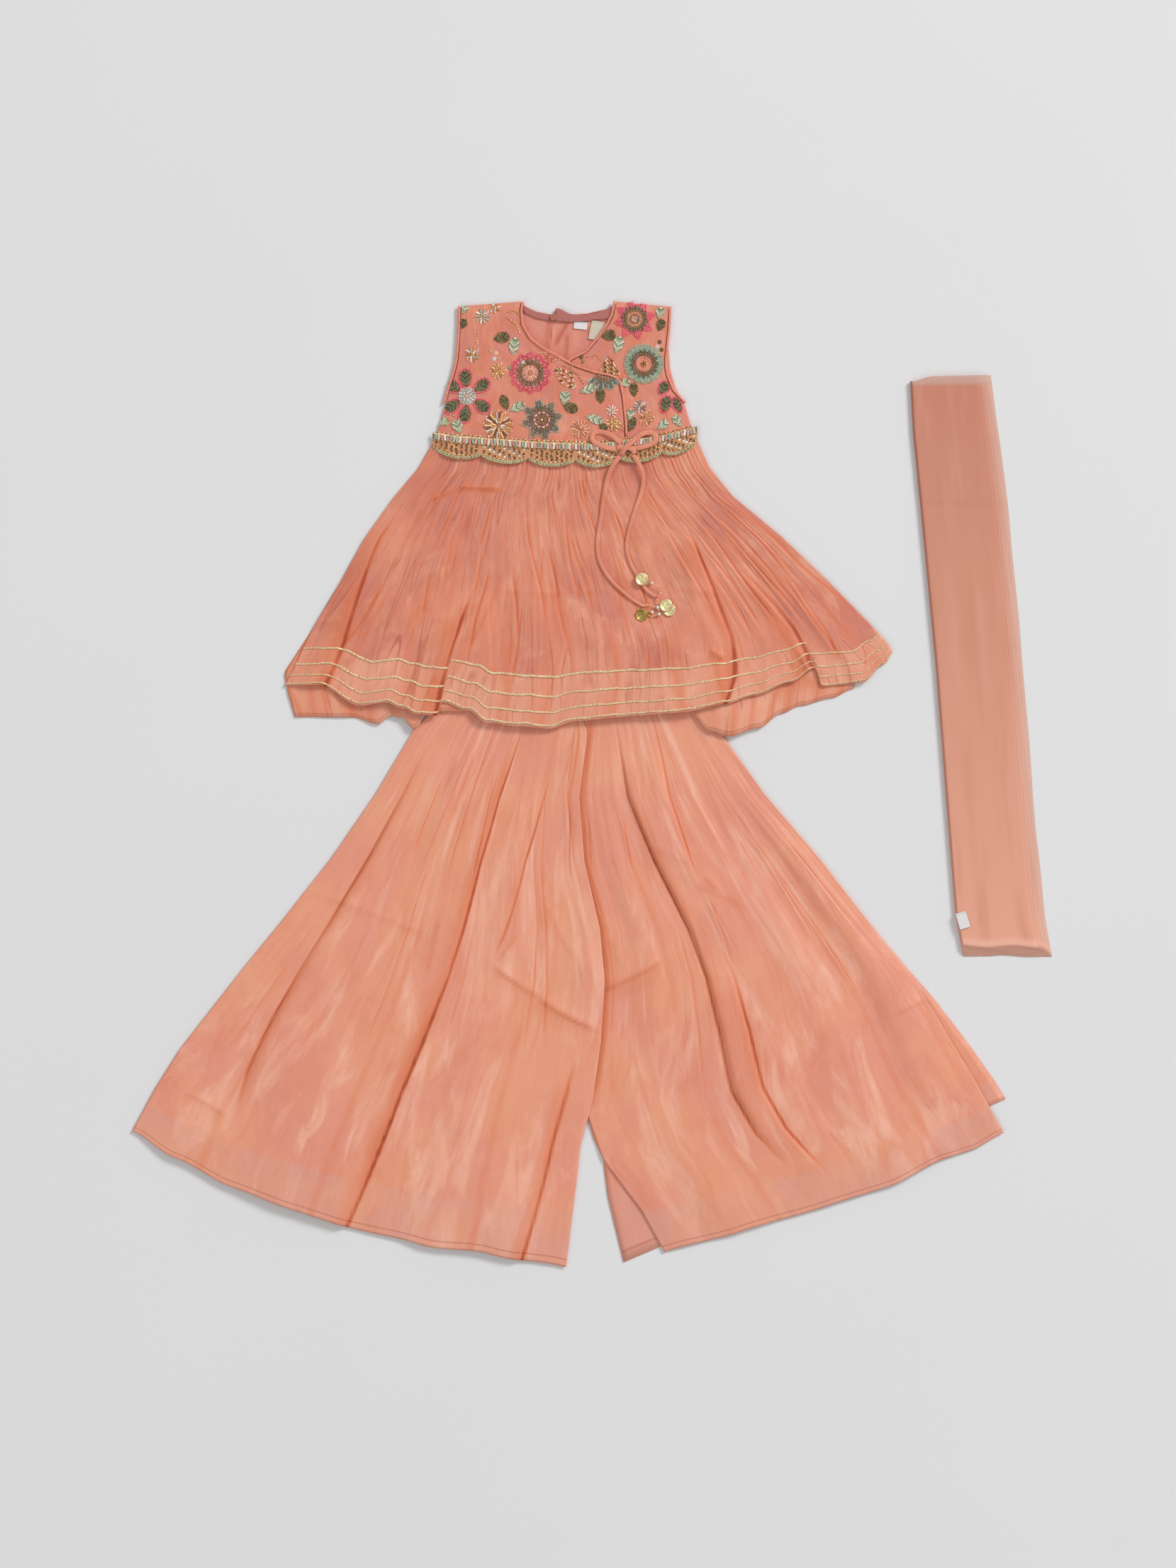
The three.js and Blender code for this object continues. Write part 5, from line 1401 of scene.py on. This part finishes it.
for across, down, radius, tones, rays in BURSTS:
    burst(embroidery, (across, down), radius, tones, rays)
print(len(LEAVES), "leaves,", len(BURSTS), "sprays")

# %% Petals, strings and sequins


def open_petal(work, place, degrees, long, wide):
    """A petal of dark tubes with a row of pink seeds round it."""
    middle = on_cloth(*place)
    outline = []
    for i in range(33):
        angle = 2 * math.pi * i / 32
        along = 0.5 * long * 0.7 * math.cos(angle)
        out = 0.5 * wide * 0.7 * math.sin(angle) * (1 + 0.25 * math.cos(angle))
        outline.append(beside(middle, math.radians(degrees), along, out))
    string_of(work, outline, 1.3, (1.6, 1.3, 1.2), ("rose", "magenta", "rose"))
    leaf(work, place, degrees, long * 0.86, wide * 0.8, ("dark", "moss", "sea"))


six_petal = (659, 559.5)
for degrees in (95, 35, -33, -96, 213, 145):
    across = six_petal[0] + 25 * math.cos(math.radians(degrees))
    down = six_petal[1] - 25 * math.sin(math.radians(degrees))
    open_petal(embroidery, (across, down), degrees, 27, 18)
flower(embroidery, six_petal, 12, [
    (0.95, "seed", 1.5, ("aqua", "silver")), (0.75, "tube", 2.6, ("silver", "aqua")),
    (0.45, "tube", 2.4, ("aqua", "silver")),
    (0.12, "seed", 1.6, ("pearl",))])
PETALS = [(936, 548, 60, 20, 16), (939, 571, 75, 25, 17), (955, 572, 120, 24, 13)]
for across, down, degrees, long, wide in PETALS:
    open_petal(embroidery, (across, down), degrees, long, wide)
for row in range(9):
    half = 1.5 + 1.55 * row
    for i in range(row + 1):
        x, y = on_cloth(859 + (2 * i - row) * half / max(row, 1), 504 + 3 * row)
        tone = ("gold", "silver", "light_gold", "brown", "gold")[(3 * i + row) % 5]
        bead(embroidery, "tube", x, y, (2.1, 1.4, 1.5), tone, -1.2 + 0.3 * i / (row + 1))
for i in range(10):
    t = i / 9
    for side in (-1, 0, 1):
        spread = 5.5 * side * (0.35 + math.sin(math.pi * t))
        x, y = on_cloth(lerp(786, 810, t) + 0.7 * spread, lerp(522, 547, t) - 0.7 * spread)
        tone = ("silver", "gold", "light_gold", "brown")[(i + side) % 4]
        bead(embroidery, "tube", x, y, (2.8, 1.4, 1.3), tone, -0.4 - 0.7 * side)
STRINGS = [
    ([(674, 466), (672, 477), (674, 487)], ("gold", "rose_gold")), ([(713, 448), (721, 454),
    (728, 460)], ("gold",)),
    ([(776, 512), (788, 508), (800, 511), (808, 519)], ("rose_gold", "gold")),
    ([(846, 612), (856, 606), (870, 604), (882, 610)], ("gold", "brown")),
    ([(715, 448), (729, 458), (734, 472)], ("gold", "light_gold")), ([(715, 441), (726, 439),
    (733, 446)], ("gold",)),
    ([(756, 500), (770, 498), (781, 506), (780, 512)], ("gold", "rose_gold")),
    ([(856, 601), (869, 593), (880, 603)], ("gold", "light_gold")), ([(826, 505), (842, 501),
    (848, 510)], ("gold",)),
    ([(900, 587), (911, 582), (922, 587)], ("gold", "rose_gold")),
    ([(792, 516), (803, 520), (817, 532), (823, 543)], ("gold", "brown")),
    ([(622, 570), (634, 584), (650, 592)], ("gold", "light_gold")), ([(826, 620), (832, 606),
    (828, 596)], ("gold",))]
for points, tones in STRINGS:
    string_of(embroidery, [on_cloth(*point) for point in points], 1.5, (1.3, 1.2, 1.0), tones)
SEQUINS = [
    (693, 496, "rose_gold"), (704, 506, "rose_gold"), (697.5, 507, "silver"), (700, 499, "rose_gold"),
    (927, 490, "silver"), (930, 483, "dark"), (933, 494, "dark"), (738, 512, "silver"),
    (719, 520, "grey"), (820, 505, "dark"), (822, 511, "moss"), (805, 528, "dark")]
for across, down, tone in SEQUINS:
    x, y = on_cloth(across, down)
    bead(embroidery, "sequin", x, y, (4.2, 4.2, 0.6), tone)
    bead(embroidery, "seed", x, y, (1.3, 1.3, 1.2), "gold")
finish_work("bodice_embroidery", embroidery, "embroidered_silk")

# %% [markdown]
# ## Coins, pearls and strings
# Each tail of the tie ends in coin charms, hung on small rings and pearls with strings of tiny beads. A
# coin is spun from its profile, with a raised rim, and its relief is a plain flower with a row of dots. The
# strings are beads set along a line.

# %% Coins and pearls


def coin_metal(name, light, dark, rough):
    metal = Finish(name, Metallic=0.85)
    wear_and_shade = metal.clouds(420, metal.place(), detail=4, roughness=0.6)
    metal.cover(metal.mix(light, dark, metal.between(wear_and_shade, 0.42, 0.7)), rough + wear_and_shade * 0.2, wear_and_shade, 0.5, 0.0004)
    return metal


pale_coin = coin_metal("pale_gold_coin", dye(252, 240, 190), dye(222, 190, 122), 0.3)
olive_coin = coin_metal("dark_gold_coin", dye(206, 172, 100), dye(112, 88, 40), 0.36)
COIN_EDGE = [(0, 0), (5.9, 0), (6.2, 0.2), (6.2, 0.7), (5.95, 0.92), (5.4, 0.92), (5.1, 0.62), (0, 0.62)]


def stud(shape, x, y, size, turn=0.0):
    place = Matrix.Translation(Vector((x, y, size[3])) * MM) @ Matrix.Rotation(turn, 4, "Z")
    scale = Matrix.Diagonal((size[0] * MM, size[1] * MM, size[2] * MM, 1))
    bmesh.ops.create_icosphere(shape, subdivisions=2, radius=0.5, matrix=place @ scale)


def coin(name, x, y, under, metal, petals):
    shape = turned(COIN_EDGE, (x, y, under), 48)
    face_height = under + 0.62
    for i in range(20):
        angle = 2 * math.pi * i / 20
        stud(shape, *polar((x, y), 4.45, angle), (0.7, 0.7, 0.55, face_height))
    for i in range(petals):
        angle = 2 * math.pi * i / petals + 0.3
        stud(shape, *polar((x, y), 2.3, angle), (2.4, 1.3, 0.7, face_height), angle)
    stud(shape, x, y, (1.6, 1.6, 0.8, face_height))
    return piece(name + "_charm", as_mesh(name, shape), metal, "coin", name)


COINS = {
    "coin_1": (48.8, 202, 6.9, pale_coin, 6), "coin_2": (48.8, 166.6, 6.2, olive_coin, 4),
    "coin_3": (72.7, 176, 7.7, pale_coin, 8), "coin_4": (76, 171.6, 6.45, pale_coin, 6)}
charms = {name: coin(name, *values) for name, values in COINS.items()}
NACRE_SHEEN = {"Sheen_Weight": 0.3, "Sheen_Tint": (1, 0.9, 0.85, 1)}
nacre = Finish("pearl_nacre", Coat_Weight=0.6, Coat_Roughness=0.12, **NACRE_SHEEN)
nacre_depth = nacre.clouds(500, nacre.place(), detail=3)
nacre_colour = nacre.mix(dye(240, 236, 228), dye(206, 200, 184), nacre_depth)
nacre.cover(nacre_colour, 0.24 + nacre_depth * 0.16, nacre_depth, 0.1, 0.0002)
PEARLS = {
    "pearl_1": (58.5, 198.2, 3.9), "pearl_2": (59.1, 169.4, 5.8), "pearl_3": (64.5, 173.9, 5.6),
    "pearl_4": (65.8, 167.4, 6.05)}
PEARL_RADIUS = 1.8
for name, (x, y, under) in PEARLS.items():
    shape = bmesh.new()
    middle = Matrix.Translation(Vector((x, y, under + PEARL_RADIUS)) * MM)
    bmesh.ops.create_uvsphere(shape, u_segments=24, v_segments=14, radius=PEARL_RADIUS * MM, matrix=middle)
    for face in shape.faces:
        face.smooth = True
    charms[name] = piece(name + "_nacre", as_mesh(name, shape), nacre, "pearl", name)
print(len(charms), "charms")

# %% Bead strings of the tails
tie_beads = {}
STRING_LINES = {
    "dori_tail_right": [
        [(928.5, 842), (932.5, 837), (933, 831), (929, 827.5), (922, 824.5)],
        [(927.6, 844), (927.4, 850), (927.4, 855)], [(928, 862), (931, 859)]],
    "dori_tail_left": [
        [(907, 855.4), (912, 853.6), (919, 854), (925, 857)], [(914, 868.5), (920, 870), (927, 868.6)]]}
CHARM_RINGS = {"dori_tail_right": [(56, 199.6, 7.2)], "dori_tail_left": [(56, 168, 7.4)]}
for tail, lines in STRING_LINES.items():
    strands = []
    for points in lines:
        line = [on_cloth(*point) for point in points]
        string_of(strands, line, 1.15, (1.25, 1.15, 1.15), ("light_gold", "pale", "gold"), top=6.6)
    if tail == "dori_tail_right":
        bead(strands, "seed", *on_cloth(927.6, 843), (2.4, 2.4, 2), "magenta", top=6.4)
    for x, y, height in CHARM_RINGS[tail]:
        for i in range(12):
            angle = 2 * math.pi * i / 12
            across, down = x + 1.7 * math.cos(angle), y + 1.3 * math.sin(angle)
            bead(strands, "tube", across, down, (1.1, 0.7, 0.7), "gold", angle + math.pi / 2, top=height)
    tie_beads[tail] = finish_work(tail + "_beads", strands, "coin")

# %% [markdown]
# ## Stole
# The stole is fine net, folded many times into a long flat bundle. The layers share their folds, and each
# group ends a little short of the one below, so its right side and lower end show thin paler steps. Eight
# sheets are enough to show that. Net is matt and slightly see-through, so one layer alone looks greyer.

# %% Net finish
net = Finish("stole_net", Sheen_Weight=0.15, Sheen_Roughness=0.6)
net_map = net.place(True)
net_across = net.node("SeparateXYZ", {}, {0: net_map}, out="X")
net_down = net.node("SeparateXYZ", {}, {0: net_map}, out="Y")
net_folds = net.clouds(1, net.place(True, (5, 3.4, 1)), detail=2, roughness=0.5)
net_mesh = net.clouds(1500, net.place(), detail=1)
net_body = net.mix(dye(206, 134, 111), dye(220, 152, 127), net.between(net_down, 0.05, 0.5))
net_body = net.mix(net_body, dye(236, 168, 142), net.between(net_down, 0.5, 0.95))
net_body = net.mix(net_body, dye(204, 130, 104), net.between(net_folds, 0.5, 0.72) * 0.4)
net_body = net.mix(net_body, dye(230, 168, 144), net.between(net_folds, 0.46, 0.28) * 0.35)
net_ledge = net.between(net_across, 0.825, 0.99) * 0.75
net_body = net.mix(net_body, dye(220, 184, 168), net_ledge)
net_body = net.mix(net_body, dye(206, 172, 158), net.between(net_down, 0.022, 0.012) * 0.7)
net_body = net.mix(net_body, dye(244, 184, 160), net.between(net_down, 0.975, 0.985) * 0.8)
# The mark from the layers' shape is painted shade.
net_colour = net.mix(net_body, dye(186, 104, 78), net.mark("crease") * 0.4)
net.cover(net_colour, 0.74 + net_mesh * 0.15, net_folds * 0.5 + net_mesh * 0.25, 0.35, 0.0008)

# %% Stole layers
DUPATTA = [
    (0, 313.6, 401.4, 393.4, 403.5), (0.12, 316.4, 347.5, 402.5, 341.9), (0.25, 324.8, 263.6, 412.3, 260.1),
    (0.5, 338.8, 117.9, 425.6, 116.5), (0.75, 352.1, -51.4, 438.9, -51.4),
    (0.9, 358.4, -128.4, 447.3, -128.4),
    (1, 366, -169.8, 454, -170.5)]
LAYERS = [
    (0.995, 1, 0.5), (0.985, 0.998, 1.05), (0.97, 0.994, 1.6), (0.95, 0.991, 2.25), (0.928, 0.987, 2.9),
    (0.9, 0.984, 3.6), (0.87, 0.981, 4.3), (0.838, 0.978, 5.0)]
FOLD_LINES = (0.227, 0.467)


def stole_layer(share, last, height):
    lift = height / 5
    bulge = 1.4 * ((height - 2.7) / 2.5) ** 2

    def place(u, v):
        across = lerp(0, share, u)
        down = v * (last + 0.0025 * math.sin(9 * u + height) * (v > 0.9))
        left_x, left_y, right_x, right_y = read_table(DUPATTA, down)
        x = lerp(left_x + bulge, right_x, across) + 0.35 * math.sin(31 * v + height * 3) * (across > 0.6)
        y = lerp(left_y, right_y, across)
        pressed = sum(bell(down - fold, 0.0025) for fold in FOLD_LINES)
        soft = ripple(across, down, 3, 4, 13) * 0.5
        edge = smooth(min(u, 1 - u) / 0.05)
        top_notch = 4.2 * smooth((0.3 - abs(u - 0.02)) / 0.3) * smooth((0.02 - v) / 0.02)
        z = 0.6 + height - 0.6 + lift * (edge * soft * 0.7 - 0.35 * pressed - 0.25 * (1 - edge))
        # Painted shade along the pressed folds and at each layer's folded left edge.
        mark = 0.3 * pressed + 0.4 * (1 - smooth(u / 0.012))
        return x, y - top_notch, z, mark
    return place


stole = bmesh.new()
for share, last, height in LAYERS:
    rows = 150 if height > 4.9 else 70
    join(stole, cloth_shape(44, rows, stole_layer(share, last, height), map_width=share))
dupatta = sew("dupatta_net_layers", stole, 0.3, net, "net", "dupatta")


# %% [markdown]
# ## What is cord and what is cloth
# For each cord of the tie, with its real length, what hangs on it is looked up. The sheets are listed with
# the size that each was cut to, how each is held and what lies under it. Most panels aren't rectangles, so
# their own flat area goes with them. Neither list is passed on here.

# %% Cords
HUNG = {
    "dori_tail_left": ["pearl_2", "pearl_4", "coin_2"],
    "dori_tail_right": ["pearl_1", "pearl_3", "coin_1", "coin_3", "coin_4"]}
for name, (made, length, width, path) in cords.items():
    hung = [tie_beads[name]] + [charms[charm] for charm in HUNG[name]] if name in HUNG else []
print(len(cords), "cords")

# %% Sheets
SHEETS = [
    (left_front, (0.46, 0.62), "gathered", [left_back], 0.174), (right_front, (0.46, 0.62),
    "gathered", [right_back], 0.148),
    (left_back, (0.46, 0.62), "laid", [], 0.167), (right_back, (0.46, 0.62), "laid", [], 0.141),
    (skirt_back, (0.6, 0.29), "gathered", [left_front, right_front], 0.12),
    (skirt_front, (0.66, 0.3), "gathered", [skirt_back], 0.12), (bodice_back, (0.26, 0.16),
    "laid", [skirt_back], 0.031),
    (under_front, (0.13, 0.15), "laid", [bodice_back], 0.0132), (over_front, (0.19, 0.15),
    "laid", [under_front], 0.0184),
    (waist_casing, (0.405, 0.0125), "gathered", [left_front, right_front], None),
    (dupatta, (0.66, 0.58), "folded", [], 0.36)]
for made, flat, held, under, area in SHEETS:
    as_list(under)
print(len(SHEETS), "sheets")
